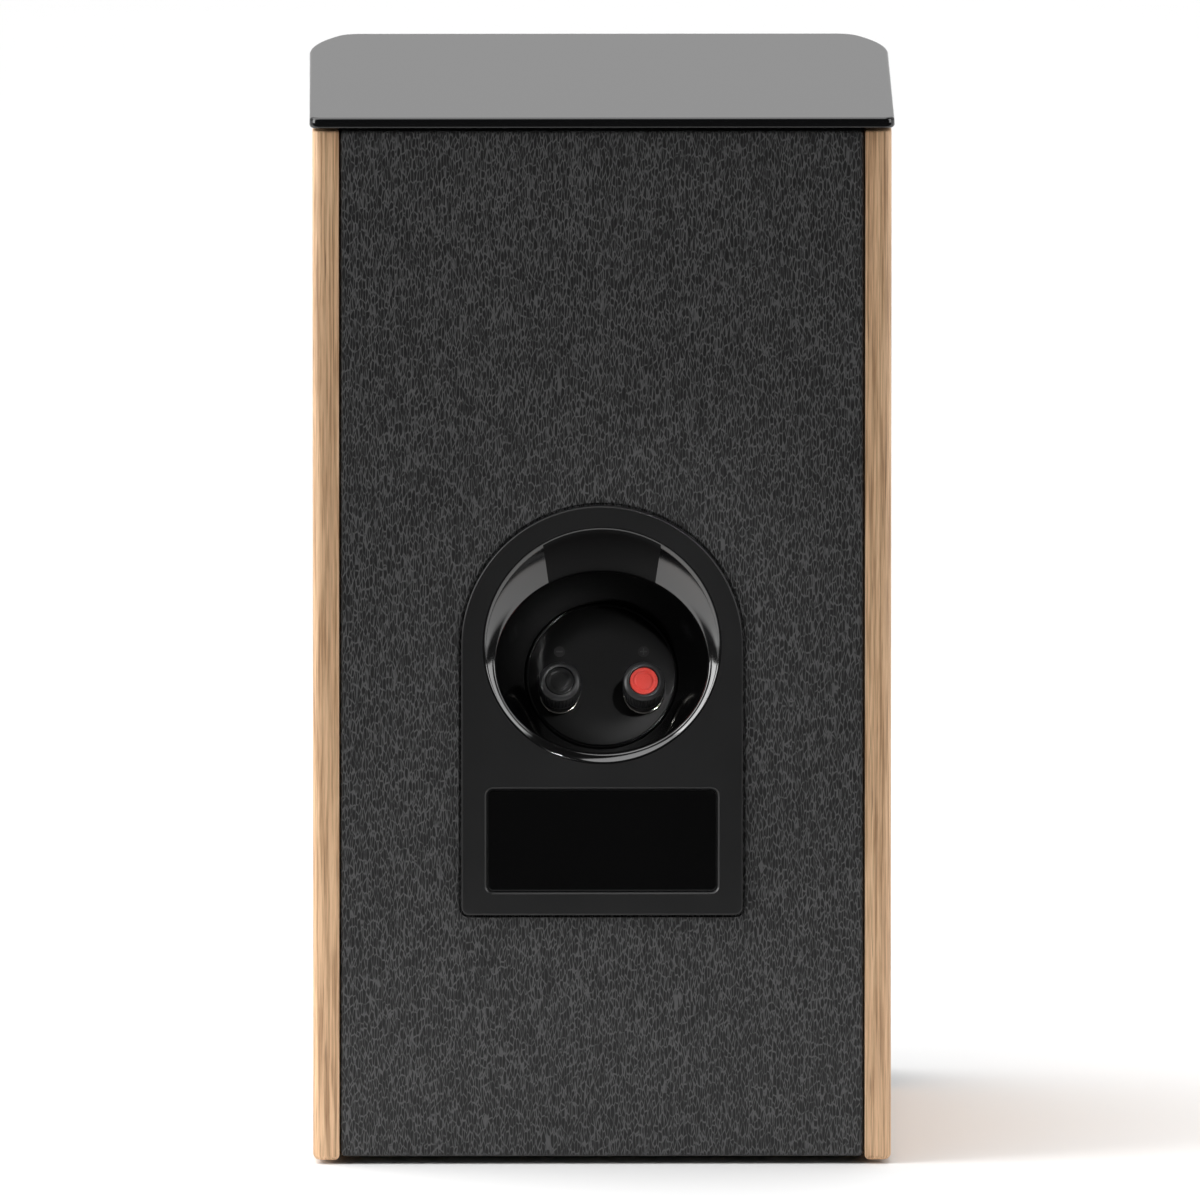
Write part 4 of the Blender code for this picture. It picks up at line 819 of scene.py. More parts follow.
def terminal_cup():
    """One moulding: the arched plate, the scooped bowl, and the tilted disc in its floor."""
    shape = bmesh.new()
    satin, gloss, hood, disc = range(4)
    sides = 192
    outline = arch_outline()
    rows = [level_row(outline, -CUP_THICKNESS), level_row(outline, -CUP_EDGE)]
    for i in range(1, 6):
        angle = math.pi / 2 * i / 5
        flat = inset(outline, CUP_EDGE * (1 - math.cos(angle)))
        rows.append(level_row(flat, CUP_EDGE * (math.sin(angle) - 1)))
    rows.append(level_row(inset(outline, CUP_EDGE + FLAT_MARGIN), 0.0))
    edge_loops = stack(shape, rows, REAR, satin)
    lines = [bowl_line(2 * math.pi * i / sides) for i in range(sides)]
    bowl_loops = [add_loop(shape, row, REAR) for row in zip(*lines)]
    sector = range(round(sides * HOOD_START / 360), round(sides * (180 - HOOD_START) / 360))
    for number, (one, other) in enumerate(zip(bowl_loops, bowl_loops[1:])):
        band = bridge(shape, one, other, gloss)
        if FLARE_ROW <= number < WELL_ROW:
            for i in sector:
                band[i].material_index = hood
    margin = circle(RIM_RADIUS + RIM_EASE + FLAT_MARGIN, sides)
    margin_loop = add_loop(shape, level_row(margin, 0.0), REAR)
    bridge(shape, margin_loop, bowl_loops[0], satin)
    label_rows = (
        (LABEL_CHAMFER + FLAT_MARGIN, 0.0), (LABEL_CHAMFER, 0.0),
        (0.0, -0.7 * LABEL_RECESS), (0.0, -LABEL_RECESS),
    )
    rows = [level_row(label_outline(grow), level) for grow, level in label_rows]
    label_loops = stack(shape, rows, REAR, satin)
    fill(shape, [label_loops[-1]], satin)
    fill(shape, [edge_loops[-1], margin_loop, label_loops[0]], satin)
    disc_rows = [
        (DISC_RADIUS, -DISC_STEP), (DISC_RADIUS, -0.00030), (DISC_RADIUS - 0.00008, -0.00010),
        (DISC_RADIUS - 0.00028, 0.0), (0.6 * DISC_RADIUS, 0.0),
    ]
    angles = [2 * math.pi * i / sides for i in range(sides)]
    rows = [[floor_point(angle, radius, height) for angle in angles] for radius, height in disc_rows]
    disc_loops = stack(shape, rows, REAR, disc)
    bridge(shape, bowl_loops[-1], disc_loops[0], gloss)
    fill(shape, [disc_loops[-1]], disc)
    back_edge = [(x, y, -CUP_THICKNESS) for x, y in circle(RIM_RADIUS + CUP_WALL, sides)]
    back_crease = []
    for angle in angles:
        spot = crease_point(angle)
        radius = math.hypot(spot.x, spot.y)
        wider = (radius + CUP_WALL) / radius
        back_crease.append((spot.x * wider, spot.y * wider, spot.z - CUP_WALL))
    back_floor = [floor_point(angle, DISC_RADIUS + FIT + CUP_WALL, -DISC_STEP - CUP_WALL) for angle in angles]
    back_loops = stack(shape, [back_edge, back_crease, back_floor], REAR, satin)
    fill(shape, [back_loops[-1]], satin)
    fill(shape, [edge_loops[0], back_loops[0]], satin)
    piece = finish_mesh("terminal_cup_moulding", shape, [SATIN, GLOSS, HOOD, DISC_SATIN_SHADED], 28)
    stands_for(piece, "terminal_cup")


def label_outline(grow):
    centre = (0, -CUP_TAIL + LABEL_FOOT + LABEL_HEIGHT / 2)
    return rounded_rectangle(LABEL_WIDTH / 2 + grow, LABEL_HEIGHT / 2 + grow, LABEL_CORNER + grow, 8, centre)


def label_and_marks():
    """The blank rating label, and the minus and plus beside the posts."""
    low = GAP - LABEL_RECESS
    label = plate("blank_label", label_outline(-FIT), low, low + 0.0005, LABEL, REAR, 0.0, 0.0001, 2)
    stands_for(label, "rating_label")
    half = POST_X
    for name, side in (("minus", -1), ("plus", 1)):
        centre = (side * half, MARK_RISE)
        spot = plate(name + "_mark", circle(MARK_RADIUS, 48, centre), -0.0002, 0.00006, MARK_DARK, DISC)
        stands_for(spot, slot="gloss_black")
        bars = [rounded_rectangle(0.0013, 0.00025, 0.0001, 2, centre)]
        if name == "plus":
            bars.append(rounded_rectangle(0.00025, 0.0013, 0.0001, 2, centre))
        strokes = [plate(f"{name}_stroke_{i}", bar, -0.0001, 0.00014, KNOB, DISC)
                   for i, bar in enumerate(bars)]
        sign = strokes[0]
        if len(strokes) > 1:
            carve(sign, strokes[1:], "UNION")
        sign.name = name + "_sign"
        stands_for(sign, slot="satin_black")


# Binding posts, in a frame on the disc with Z along the post

POST_X = 0.016
STUD_RADIUS = 0.003
STUD_FLANGE_RADIUS = 0.0078
STUD_FLANGE_TOP = 0.0015
STUD_TOP = 0.0155
BANANA_RADIUS = 0.00205
COLLAR_FOOT = 0.0018
COLLAR_TOP = 0.0070
KNOB_FOOT = 0.0073
KNOB_TOP = 0.0180
KNOB_RADIUS = 0.008
RECESS_RADIUS = 0.0057
RECESS_FLOOR = 0.0162
WASHER_RADIUS = 0.0056
THREAD_ROOM = 0.0012
PLUG_SLACK = 0.00075


def post_frame(colour):
    """The turning knob's own axis, from the disc's face outwards."""
    joint = next(j for j in frame["joints"] if j["name"] == colour + "_knob_turn")
    return Matrix.Translation(joint["pos_m"]) @ Matrix.Rotation(math.pi, 4, "Z") \
        @ Matrix.Rotation(math.pi / 2 - DISC_TILT, 4, "X")


def threaded_line(low, high, pitch=0.0007, depth=0.00022):
    """Side of a threaded rod from its top down, as close ridges."""
    points = []
    count = int((high - low) / pitch)
    for i in range(count):
        top = high - i * pitch
        points.append((STUD_RADIUS, top))
        points.append((STUD_RADIUS - depth, top - pitch / 2))
    points.append((STUD_RADIUS, low))
    return points


def post_stud(colour, where):
    ease = 0.0003
    profile = [
        (0, 0.003), (BANANA_RADIUS, 0.003), (BANANA_RADIUS, STUD_TOP - ease),
        (BANANA_RADIUS + ease, STUD_TOP), (STUD_RADIUS - ease, STUD_TOP),
    ]
    profile += threaded_line(COLLAR_TOP, STUD_TOP - ease)
    profile += eased([
        (STUD_RADIUS, STUD_FLANGE_TOP + 0.001), (STUD_RADIUS, STUD_FLANGE_TOP),
        (STUD_FLANGE_RADIUS, STUD_FLANGE_TOP, 0.0006), (STUD_FLANGE_RADIUS, 0.0003, 0.0002),
        (STUD_RADIUS, 0.0003), (STUD_RADIUS, -0.014, 0.0005), (0, -0.014),
    ], steps=5)
    piece = turned(colour + "_stud", profile, NICKEL, where, SMALL_ROUND, angle=40)
    stands_for(piece, colour + "_post_stud")


def post_collar(colour, where):
    """Insulating collar: a waisted cone that flares to its foot."""
    bore = STUD_RADIUS + GAP
    waist = 0.0058
    foot_radius = 0.0072
    side = []
    for i in range(13):
        t = i / 12
        side.append((waist + (foot_radius - waist) * t ** 2.2, COLLAR_TOP - 0.0006 - 0.0040 * t))
    profile = [(bore, COLLAR_TOP), (waist - 0.0003, COLLAR_TOP), (waist, COLLAR_TOP - 0.0003)]
    profile += side + [(foot_radius, COLLAR_FOOT + 0.0002), (foot_radius - 0.0002, COLLAR_FOOT)]
    profile += [(bore, COLLAR_FOOT)]
    piece = turned(colour + "_collar", profile, SATIN, where, SMALL_ROUND)
    stands_for(piece, colour + "_post_collar")


def clamp_ring(colour, where):
    bore = STUD_RADIUS + GAP
    low = KNOB_FOOT
    high = KNOB_FOOT + 0.001
    ease = 0.0002
    corners = [(bore, high, ease), (WASHER_RADIUS, high, ease), (WASHER_RADIUS, low, ease), (bore, low, ease)]
    profile = eased(corners, closed=True)
    piece = turned(colour + "_washer", profile, NICKEL, where, SMALL_ROUND)
    stands_for(piece, colour + "_clamp_ring", body=colour + "_clamp")


def knob(colour, where):
    """A grip with fine upright ribs between a domed rim and a plain foot."""
    ribs = 36
    sides = ribs * 6
    bore = STUD_RADIUS + THREAD_ROOM
    roof = KNOB_FOOT + 0.0013
    outer = eased([
        (RECESS_RADIUS, KNOB_TOP - 0.0001, 0.0003), (0.0064, KNOB_TOP, 0.0006),
        (KNOB_RADIUS - 0.0001, KNOB_TOP - 0.0008, 0.0010), (KNOB_RADIUS - 0.0001, KNOB_TOP - 0.0030),
    ], steps=5)
    rib_rows = [(KNOB_RADIUS, KNOB_TOP - 0.0031), (KNOB_RADIUS, KNOB_FOOT + 0.0014)]
    foot = eased([
        (KNOB_RADIUS, KNOB_FOOT + 0.0012), (KNOB_RADIUS, KNOB_FOOT, 0.0005), (0.0059, KNOB_FOOT),
        (0.0059, roof), (bore, roof), (bore, RECESS_FLOOR, 0.0002),
        (RECESS_RADIUS, RECESS_FLOOR, 0.0003), (RECESS_RADIUS, KNOB_TOP - 0.0004),
    ], steps=3)
    rows = []
    for radius, height in outer + rib_rows + foot:
        ribbed = (radius, height) in rib_rows
        points = []
        for i in range(sides):
            angle = 2 * math.pi * i / sides
            depth = 0.00028 * (0.5 - 0.5 * math.cos(ribs * angle)) if ribbed else 0
            points.append(((radius - depth) * math.cos(angle), (radius - depth) * math.sin(angle), height))
        rows.append(points)
    shape = bmesh.new()
    stack(shape, rows, where, closed=True)
    piece = finish_mesh(colour + "_grip", shape, [KNOB], 50)
    stands_for(piece, colour + "_knob", body=colour + "_knob_body")


def dust_plug(colour, where, finish):
    """The plug in the banana socket: a flat flange, a groove and a low button."""
    low = RECESS_FLOOR + GAP
    high = low + 0.001
    radius = RECESS_RADIUS - GAP
    stem = BANANA_RADIUS - PLUG_SLACK
    points = [
        (0, high + 0.00015), (0.0031, high + 0.00015, 0.0004), (0.0034, high - 0.0003, 0.0002),
        (0.0039, high - 0.0003, 0.0002), (0.0041, high, 0.0002), (radius, high, 0.0004),
        (radius, low, 0.0001), (stem, low), (stem, low - 0.0095, 0.0003), (0.001, low - 0.0105, 0.0004),
        (0, low - 0.0105),
    ]
    piece = turned(colour + "_plug", eased(points, steps=5), finish, where, SMALL_ROUND)
    stands_for(piece, colour + "_dust_plug", body=colour + "_plug_body")


def post_nut(colour, where):
    top = -DISC_STEP - CUP_WALL - GAP
    hexagon = arc((0, 0), 0.006, 0, 360, 6)[:-1]
    nut = plate(colour + "_nut", hexagon, top - 0.0035, top, NICKEL, where, 0.0004, 0.0004)
    hole = plate("hole", circle(STUD_RADIUS + GAP, SMALL_ROUND), top - 0.01, top + 0.01, NICKEL, where)
    carve(nut, [hole])
    stands_for(nut, colour + "_post_nut")


def binding_posts():
    for colour, plug in (("red", RED), ("black", BLACK_PLUG)):
        where = post_frame(colour)
        post_stud(colour, where)
        post_collar(colour, where)
        clamp_ring(colour, where)
        knob(colour, where)
        dust_plug(colour, where, plug)
        post_nut(colour, where)


# Woofer, in a frame on the baffle's face with Z out of the front

BASKET_RADIUS = 0.0725
BOSS_RADIUS = 0.036
WOOFER_RADIUS = 0.082
FLANGE_FACE = -0.0004
FLANGE_FOOT = -0.0042
SEAT = -0.0036
ROLL_INNER = 0.054
ROLL_OUTER = 0.064
ROLL_HEIGHT = 0.0043
CONE_EDGE = 0.0537
LIP_INNER = 0.0502
CONE_NECK = 0.0132
CONE_DEPTH = 0.0234
BASKET_NECK = 0.0525
LEDGE = -0.038
BASKET_BASE = -0.056
WINDOWS = 6
WINDOW_WIDTH = 0.036
SCREW_CIRCLE = 0.0773


def cone_level(radius):
    """Height of the cone's front face, which bows a little between its edge and its neck."""
    share = min(1.0, max(0.0, (LIP_INNER - radius) / (LIP_INNER - CONE_NECK)))
    return SEAT - CONE_DEPTH * (0.75 * share + 0.25 * share * share)


def radial_weights(piece, middle, inner, outer):
    """How far each point follows the moving body: all of it inside, none of it outside."""
    attribute = piece.data.attributes["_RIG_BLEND"]
    for vertex in piece.data.vertices:
        away = vertex.co - middle
        radius = math.hypot(away.x, away.z)
        share = min(1.0, max(0.0, (outer - radius) / (outer - inner)))
        attribute.data[vertex.index].value = share * share * (3 - 2 * share)


def flexing(piece, body, node, where, inner, outer):
    """A ring that joins the cabinet outside to a moving body inside."""
    middle = where.translation
    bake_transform(piece, CABINET, body, start=tuple(middle + Vector((outer, 0, 0))), end=tuple(middle))
    radial_weights(piece, middle, inner, outer)
    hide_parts(node)


def woofer_basket():
    """Flange with a chamfered edge, skirt with windows, ledge and base."""
    wall = 0.003
    shoulder = FLANGE_FOOT - 2 * wall
    neck = BASKET_NECK - wall
    seat_outer = BASKET_RADIUS - wall / 3
    points = [
        (WOOFER_RADIUS, FLANGE_FACE, 0.0012), (WOOFER_RADIUS, FLANGE_FOOT, 0.0003),
        (BASKET_RADIUS, FLANGE_FOOT), (BASKET_RADIUS, shoulder, 0.002),
        (BASKET_NECK, LEDGE + wall / 3, 0.002), (BASKET_NECK, BASKET_BASE, 0.001), (0.022, BASKET_BASE),
        (0.022, BASKET_BASE + wall), (neck, BASKET_BASE + wall, 0.001), (neck, LEDGE - wall, 0.001),
        (neck - 2 * wall, LEDGE - wall), (neck - 2 * wall, LEDGE), (neck, LEDGE), (neck, LEDGE + wall, 0.001),
        (BASKET_RADIUS - wall, shoulder, 0.001), (ROLL_OUTER - GAP, SEAT - wall, 0.0005),
        (ROLL_OUTER - GAP, SEAT, 0.0003), (seat_outer, SEAT), (seat_outer, FLANGE_FACE, 0.0003),
    ]
    basket = turned("basket_casting", eased(points, closed=True), SATIN, WOOFER)
    cutters = []
    high = shoulder - wall
    low = LEDGE + 2 * wall
    for number in range(WINDOWS):
        turn = Matrix.Rotation(2 * math.pi * number / WINDOWS, 4, "Z")
        near = BASKET_NECK - wall
        centre = ((near + WOOFER_RADIUS) / 2, 0)
        flat = rounded_rectangle((WOOFER_RADIUS - near) / 2, WINDOW_WIDTH / 2, 0.003, 4, centre)
        cutters.append(plate(f"window_{number}", flat, low, high, SATIN, WOOFER @ turn))
    for number, spot in screw_spots(SCREW_CIRCLE):
        hole = WOOFER @ Matrix.Translation(spot)
        cutters.append(turned_block(f"screw_hole_{number}", 0.0021, FLANGE_FOOT - 0.001, 0.001, hole, 32))
    carve(basket, cutters)
    stands_for(basket, "woofer_basket")


def woofer_trim_ring():
    outer = BASKET_RADIUS - 0.001 - FIT
    inner = ROLL_OUTER + 0.0007 + FIT
    foot = SEAT + 2 * GAP + 0.0007
    lap = FLANGE_FACE + GAP
    cap = outer + 0.0018
    top = lap + 0.0013
    points = [
        (cap, top, 0.0009), (cap, lap), (outer, lap), (outer, foot), (inner, foot),
        (inner, top - 0.0002, 0.0008), (inner + 0.0016, top, 0.0010),
    ]
    piece = turned("trim_ring", eased(points, closed=True, steps=6), RING_GLOSS, WOOFER)
    stands_for(piece, "woofer_trim_ring")


def rolled_profile(inner, outer, roll_inner, roll_outer, foot, wall, height, steps):
    """Section of a flat ring with a half roll, as a closed line."""
    middle = (roll_inner + roll_outer) / 2
    half = (roll_outer - roll_inner) / 2
    over = [(outer, foot + wall)]
    under = [(outer, foot)]
    for i in range(steps + 1):
        angle = math.pi * i / steps
        reach = math.cos(angle)
        rise = math.sin(angle)
        over.append((middle + (half + wall / 2) * reach, foot + wall + height * rise))
        under.append((middle + (half - wall / 2) * reach, foot + height * rise))
    over.append((inner, foot + wall))
    under.append((inner, foot))
    return under + list(reversed(over))


def woofer_surround():
    outer = BASKET_RADIUS - 0.001 - FIT
    profile = rolled_profile(LIP_INNER + GAP, outer, ROLL_INNER, ROLL_OUTER, SEAT + GAP, 0.0007,
                             ROLL_HEIGHT, 28)
    piece = turned("surround_roll", profile, ROLL_RUBBER, WOOFER, angle=60)
    flexing(piece, "cone_assembly", "woofer_surround", WOOFER, ROLL_INNER, ROLL_OUTER)


def woofer_cone():
    wall = 0.0011
    front = []
    for i in range(33):
        radius = LIP_INNER + (CONE_NECK - LIP_INNER) * i / 32
        front.append((radius, cone_level(radius)))
    profile = [(CONE_EDGE, SEAT), (CONE_EDGE, SEAT - 0.0008)]
    profile += [(radius, level - wall) for radius, level in front] + list(reversed(front))
    piece = turned("paper_cone", profile, CONE, WOOFER)
    stands_for(piece, "woofer_cone", body="cone_assembly")


def dome_line(radius, foot, height, steps=24):
    """Half section of a dome, from its crown to its rim."""
    points = []
    for i in range(steps + 1):
        angle = math.pi / 2 * i / steps
        points.append((radius * math.sin(angle), foot + height * math.cos(angle)))
    return points


def woofer_dust_cap():
    radius = 0.021
    wall = 0.0008
    height = 0.006
    level = cone_level(radius) + GAP + wall / 2
    profile = dome_line(radius, level, height + wall) + dome_line(radius - 1.5 * wall, level, height)[::-1]
    piece = turned("cone_cap", profile, CAP, WOOFER, angle=60)
    stands_for(piece, "woofer_dust_cap", body="cone_assembly")


def woofer_spider():
    """A corrugated cloth disc between the ledge and the coil."""
    inner = 0.0132
    outer = BASKET_NECK - 0.003 - FIT
    start = inner + 0.004
    end = BASKET_NECK - 0.009 - 0.002
    level = LEDGE + GAP
    wave = []
    for i in range(73):
        t = i / 72
        wave.append((end - (end - start) * t, level + 0.0012 * math.sin(2 * math.pi * 3 * t)))
    under = [(outer, level)] + wave + [(inner, level)]
    over = [(radius, height + 0.0005) for radius, height in reversed(under)]
    piece = turned("spider_disc", under + over, SPIDER, WOOFER, angle=60)
    flexing(piece, "cone_assembly", "woofer_spider", WOOFER, start, end)


def woofer_coil():
    """A paper former with its copper winding."""
    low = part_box("woofer_voice_coil")[1].y
    depth = FRONT_Y - low
    inside, outside, winding = 0.0125, 0.0129, 0.0137
    neck, tall = -0.0246, 0.012
    points = [
        (outside, neck), (outside, depth + tall), (winding, depth + tall, 0.0002),
        (winding, depth, 0.0002), (inside, depth), (inside, neck),
    ]
    piece = turned("coil_winding", eased(points), COPPER, WOOFER)
    stands_for(piece, "woofer_voice_coil", body="cone_assembly")


# Screws

SCREW_HEAD_RADIUS = 0.0034
SCREW_HEAD_HEIGHT = 0.0015
SCREW_RADIUS = 0.0018
SCREW_LENGTH = 0.017


def screw_spots(radius):
    """Number and place of each of four screws on a circle, between the main axes."""
    for number in range(1, 5):
        angle = math.radians(90 * number - 45)
        yield number, Vector((radius * math.cos(angle), radius * math.sin(angle), 0))


def screws(driver, radius, seat, where):
    """Pan heads with a six-sided socket, and a threaded shank."""
    top = seat + SCREW_HEAD_HEIGHT
    for number, spot in screw_spots(radius):
        here = where @ Matrix.Translation(spot)
        line = eased([
            (0, top), (0.0024, top, 0.0008), (SCREW_HEAD_RADIUS, top - 0.0008, 0.0008),
            (SCREW_HEAD_RADIUS, seat, 0.0001), (SCREW_RADIUS, seat),
        ], steps=5)
        height = seat - 0.002
        while height > -SCREW_LENGTH + 0.003:
            line += [(SCREW_RADIUS, height), (SCREW_RADIUS - 0.0004, height - 0.0005)]
            height -= 0.001
        line += [(0.0012, -SCREW_LENGTH + 0.002), (0, -SCREW_LENGTH)]
        piece = turned(f"{driver}_fixing_{number}", line, SCREW_STEEL, here, 48, angle=40)
        socket = arc((0, 0), 0.0015, 0, 360, 6)[:-1]
        carve(piece, [plate("socket", socket, top - 0.0011, top + 0.001, SCREW_STEEL, here)])
        stands_for(piece, f"{driver}_screw_{number}")


# Tweeter

THROAT_RADIUS = 0.0162
THROAT_DEPTH = 0.0075
GUIDE_RADIUS = 0.040
TWEETER_RADIUS = 0.052
TWEETER_SCREW_CIRCLE = 0.046
TWEETER_FACE = -0.0001
DOME_RADIUS = 0.0127
DOME_FOOT = -0.0082
DOME_WALL = 0.0004
DOME_HEIGHT = 0.0042
POT_RADIUS = 0.021


def tweeter_faceplate():
    """A flat rim and a shallow flare down to the dome."""
    back = TWEETER_FACE - 0.0039
    guide = []
    for i in range(25):
        t = i / 24
        radius = THROAT_RADIUS + (GUIDE_RADIUS - THROAT_RADIUS) * t
        guide.append((radius, TWEETER_FACE - 0.0063 * (1 - t) ** 2))
    room = POT_RADIUS + FIT
    points = [
        (TWEETER_RADIUS, TWEETER_FACE, 0.0012), (TWEETER_RADIUS, back), (BOSS_RADIUS, back),
        (BOSS_RADIUS, -0.0107), (room, -0.0107), (room, -THROAT_DEPTH),
        (THROAT_RADIUS, -THROAT_DEPTH, 0.0003),
    ]
    profile = eased(points + guide, closed=True, steps=6)
    piece = turned("waveguide", profile, SATIN, TWEETER)
    cutters = []
    for number, spot in screw_spots(TWEETER_SCREW_CIRCLE):
        hole = TWEETER @ Matrix.Translation(spot)
        cutters.append(turned_block(f"screw_hole_{number}", 0.0021, back - 0.001, 0.001, hole, 32))
    carve(piece, cutters)
    stands_for(piece, "tweeter_faceplate")


def tweeter_dome():
    rim = DOME_RADIUS + GAP
    top = DOME_FOOT + DOME_WALL
    profile = dome_line(DOME_RADIUS, top, DOME_HEIGHT) + [(rim, top), (rim, DOME_FOOT)]
    profile += dome_line(DOME_RADIUS - DOME_WALL, DOME_FOOT, DOME_HEIGHT)[::-1]
    piece = turned("silk_dome", profile, DOME, TWEETER, angle=50)
    stands_for(piece, "tweeter_dome", body="dome_assembly")


def tweeter_surround():
    inner = DOME_RADIUS + 2 * GAP
    roll_inner = inner + DOME_WALL
    roll_outer = THROAT_RADIUS - FIT
    profile = rolled_profile(inner, POT_RADIUS - FIT, roll_inner, roll_outer, DOME_FOOT, DOME_WALL,
                             0.0011, 14)
    piece = turned("dome_roll", profile, DOME, TWEETER, angle=60)
    flexing(piece, "dome_assembly", "tweeter_surround", TWEETER, roll_inner, roll_outer)


# Slot port

port_low, port_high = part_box("port_duct")
PORT_WALL = 0.0025
PORT_LIP = 0.004
PORT_LIP_DEPTH = 0.002
PORT_CORNER = 0.008
PORT_HALF_WIDTH = port_high.x - PORT_WALL - PORT_LIP
PORT_HALF_HEIGHT = (port_high.z - port_low.z) / 2 - PORT_WALL - PORT_LIP


def port_duct():
    """A slot with a rounded mouth, its lip let into the baffle, and a long straight duct."""
    length = port_high.y - port_low.y
    flare = 0.0055
    rows = [
        (PORT_WALL, -length), (PORT_WALL, -PORT_LIP_DEPTH), (PORT_WALL + PORT_LIP, -PORT_LIP_DEPTH),
        (PORT_WALL + PORT_LIP, -0.0004), (PORT_WALL + PORT_LIP - 0.0001, -0.0001),
        (PORT_WALL + PORT_LIP - 0.0004, 0.0),
    ]
    for i in range(10):
        angle = math.pi / 2 * i / 9
        rows.append((flare * (1 - math.sin(angle)), -flare * (1 - math.cos(angle))))
    rows.append((0.0, -length))
    half_width, half_height = PORT_HALF_WIDTH, PORT_HALF_HEIGHT
    shape = bmesh.new()
    stack(shape, [
        level_row(rounded_rectangle(half_width + grow, half_height + grow, PORT_CORNER + grow, 16), level)
        for grow, level in rows
    ], PORT, closed=True)
    piece = finish_mesh("slot_port", shape, [SATIN])
    stands_for(piece, "port_duct")


# Wadding

def wadding():
    """A lofty pad: crowned faces, soft edges and an uneven, fibrous surface."""
    low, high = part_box("damping_wadding")
    centre = (low + high) / 2
    half = (high - low) / 2
    shape = bmesh.new()
    bmesh.ops.create_cube(shape, size=2)
    bmesh.ops.subdivide_edges(shape, edges=shape.edges, cuts=23, use_grid_fill=True)
    for vertex in shape.verts:
        x, y, z = vertex.co
        squeeze = 1 - 0.05 * (abs(x) ** 6 + abs(y) ** 6 + abs(z) ** 6)
        ripple = 1 - 0.018 * (1 + math.sin(13 * x + 4 * z) * math.cos(9 * z - 5 * y + 1.3))
        vertex.co = centre + Vector((x * half.x, y * half.y, z * half.z)) * squeeze * ripple
    piece = finish_mesh("wadding_pad", shape, [WADDING], 80)
    stands_for(piece, "damping_wadding")


def carried_nodes():
    """CAD nodes whose shape is right keep their mesh and get their finish here."""
    finishes = {
        BOARD: ["top_panel", "bottom_panel", "window_brace"],
        RUBBER: ["glass_bond_tape", "terminal_gasket", "woofer_gasket"],
        STEEL: ["woofer_top_plate", "woofer_yoke", "tweeter_yoke"],
        FERRITE: ["woofer_magnet"],
        NEODYMIUM: ["tweeter_magnet"],
        COPPER: ["tweeter_voice_coil", "crossover_inductor"],
        CIRCUIT: ["crossover_board"],
        FILM: ["crossover_capacitor"],
        SHEATH: ["woofer_lead", "tweeter_lead"],
    }
    for finish, names in finishes.items():
        for name in names:
            mesh = frame["nodes"][name].data
            mesh.materials.clear()
            mesh.materials.append(finish)


# Studio: the camera in metres, degrees and millimetres, the lights in watts

CAMERA_DISTANCE = 18.6
CAMERA_AZIMUTH = 179.66
CAMERA_ELEVATION = 7.7
CAMERA_LENS = 1468.0
CAMERA_AIM = (0.0008, 0.131, 0.2171)
BACK_LIGHT = 0.575
ROOM_LIGHT = 0.04
FLOOR_SHADE = 0.06
SUN_POWER = 2.75
LEFT_POWER = 16.0
BOWL_POWER = 62.0
RIGHT_POWER = 8.5
FRONT_POWER = 6
SIDE_LIGHT_X = 1.30
BOWL_LIGHT_PLACE = (-0.40, 1.5, 0.95)


def lamp(name, kind, power, direction, place=(0, 0, 0), **settings):
    """A light that shines in a direction."""
    data = bpy.data.lights.new(name, kind)
    data.energy = power
    for key, value in settings.items():
        setattr(data, key, value)
    light = add_object(name, data)
    light.location = place
    light.rotation_euler = Vector(direction).to_track_quat("-Z", "Y").to_euler()


def softbox(name, place, width, height, power):
    """A rectangular light aimed at the middle of the speaker."""
    direction = Vector((0, 0, 0.2)) - Vector(place)
    lamp(name, "AREA", power, direction, place, shape="RECTANGLE", size=width, size_y=height)


def pale_floor():
    """A white table whose colour is painted dark grey from a little way behind the speaker, on the camera's
    side: painted shade.
    """
    r = Recipe("pale_floor", (0.92, 0.92, 0.92), 0.9, Specular_IOR_Level=0.0)
    split = r.node("SeparateXYZ", Vector=r.place)
    # Past this band the table's colour is painted dark: painted shade, which the glossy parts reflect.
    fade = r.node("MapRange", {"interpolation_type": "SMOOTHSTEP"}, Value=split.outputs["Y"])
    for socket, value in (("From Min", 0.27), ("From Max", 0.50), ("To Min", 1.0), ("To Max", FLOOR_SHADE)):
        r.set(fade, socket, value)
    mottle = r.ramp(r.noise(r.place, 3, 2), [(0.3, 0.865), (0.7, 0.875)])
    return r.done(r.mix(1.0, mottle, fade.outputs["Result"], "MULTIPLY"))


def room():
    """World light by direction: white behind the speaker and overhead, dark behind the camera."""
    world = bpy.data.worlds.new("studio")
    world.use_nodes = True
    tree = world.node_tree
    sky = tree.nodes["Background"]
    place = tree.nodes.new("ShaderNodeTexCoord")
    split = tree.nodes.new("ShaderNodeSeparateXYZ")
    tree.links.new(place.outputs["Generated"], split.inputs[0])
    fade = tree.nodes.new("ShaderNodeMapRange")
    fade.interpolation_type = "SMOOTHSTEP"
    tree.links.new(split.outputs["Y"], fade.inputs["Value"])
    for socket, value in (("From Min", -0.35), ("From Max", 0.25), ("To Min", BACK_LIGHT),
                          ("To Max", ROOM_LIGHT)):
        fade.inputs[socket].default_value = value
    tree.links.new(fade.outputs["Result"], sky.inputs["Strength"])
    sky.inputs["Color"].default_value = (1, 1, 1, 1)
    bpy.context.scene.world = world


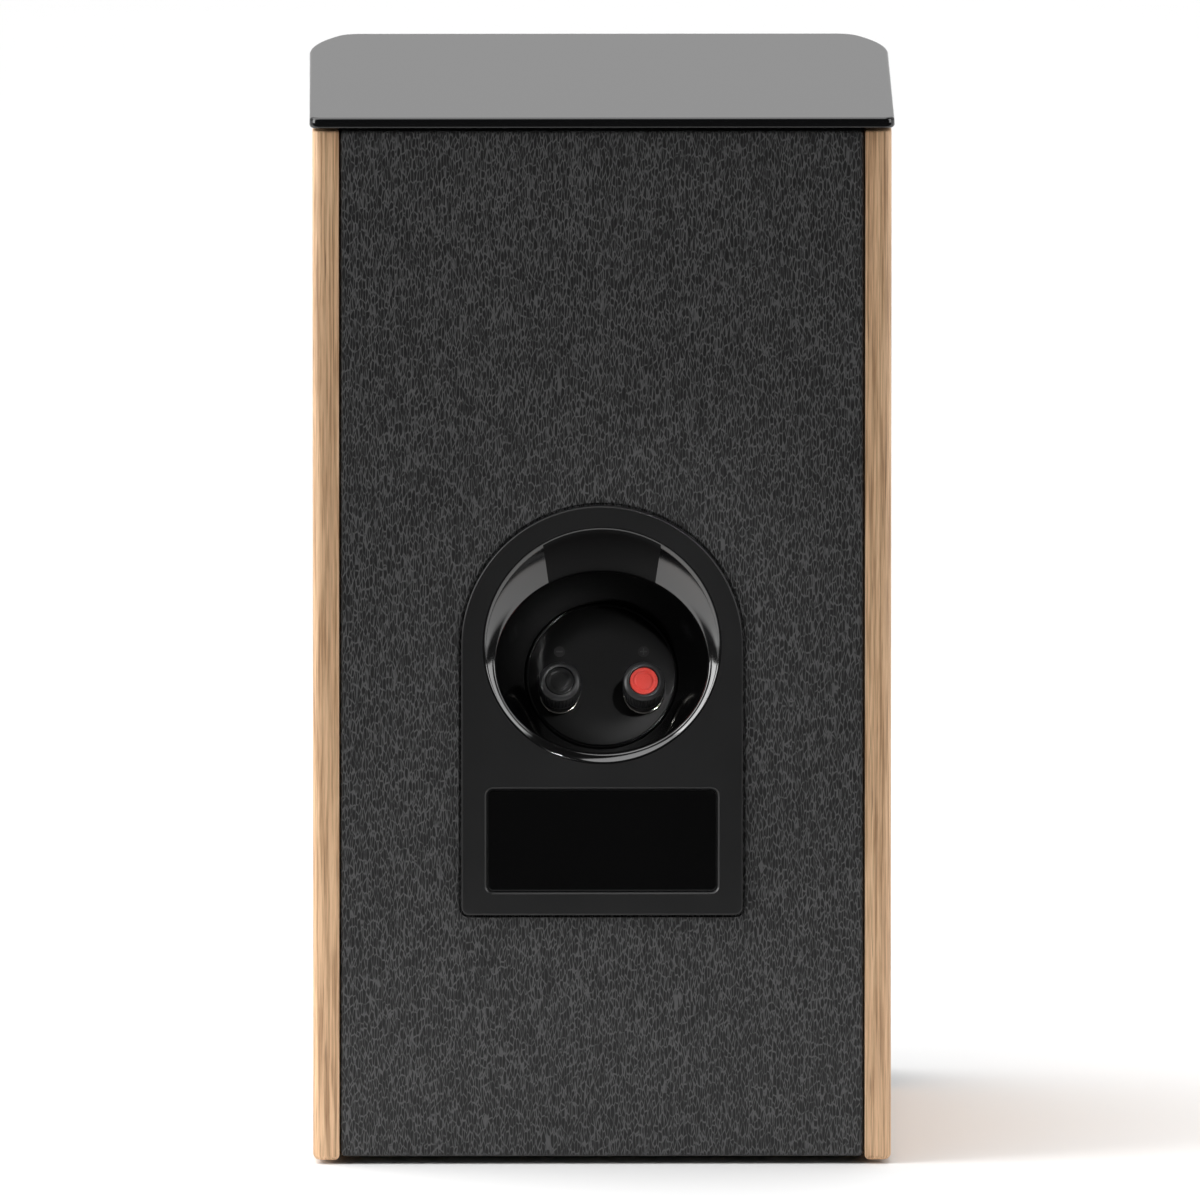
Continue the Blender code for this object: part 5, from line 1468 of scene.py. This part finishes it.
def studio():
    shape = bmesh.new()
    bmesh.ops.create_grid(shape, x_segments=1, y_segments=1, size=14)
    mesh = bpy.data.meshes.new("floor")
    shape.to_mesh(mesh)
    shape.free()
    mesh.materials.append(pale_floor())
    floor = add_object("floor", mesh)
    room()
    lamp("ceiling_light", "SUN", SUN_POWER, (-0.35, 0.10, -1), angle=math.radians(70))
    softbox("left_softbox", (SIDE_LIGHT_X, 0.50, 0.75), 0.7, 1.1, LEFT_POWER)
    softbox("right_softbox", (-SIDE_LIGHT_X, 0.50, 0.75), 0.7, 1.1, RIGHT_POWER)
    softbox("front_fill", (-0.5, -2.0, 2.6), 1.6, 1.2, FRONT_POWER)
    lamp("bowl_light", "SPOT", BOWL_POWER, DISC.translation - Vector(BOWL_LIGHT_PLACE), BOWL_LIGHT_PLACE,
         spot_size=math.radians(3.0), spot_blend=0.6, shadow_soft_size=0.06)
    bpy.context.scene.view_settings.view_transform = "Standard"


def camera():
    """A long lens a little above the speaker's back, aimed at the middle of it."""
    data = bpy.data.cameras.new("camera")
    data.lens = CAMERA_LENS
    data.clip_start = 0.5
    data.clip_end = 60
    eye = add_object("camera", data)
    azimuth = math.radians(CAMERA_AZIMUTH)
    elevation = math.radians(CAMERA_ELEVATION)
    back = Vector((math.sin(azimuth) * math.cos(elevation), -math.cos(azimuth) * math.cos(elevation),
                   math.sin(elevation)))
    eye.location = Vector(CAMERA_AIM) + back * CAMERA_DISTANCE
    eye.rotation_euler = (-back).to_track_quat("-Z", "Y").to_euler()
    bpy.context.scene.camera = eye


camera()
studio()
side_panels()
rear_panel()
front_baffle()
glass_sheet()
feet()
terminal_cup()
label_and_marks()
binding_posts()
woofer_basket()
woofer_surround()
woofer_trim_ring()
woofer_cone()
woofer_dust_cap()
woofer_spider()
woofer_coil()
screws("woofer", SCREW_CIRCLE, FLANGE_FACE + GAP, WOOFER)
tweeter_faceplate()
tweeter_dome()
tweeter_surround()
screws("tweeter", TWEETER_SCREW_CIRCLE, TWEETER_FACE + GAP, TWEETER)
port_duct()
wadding()
carried_nodes()
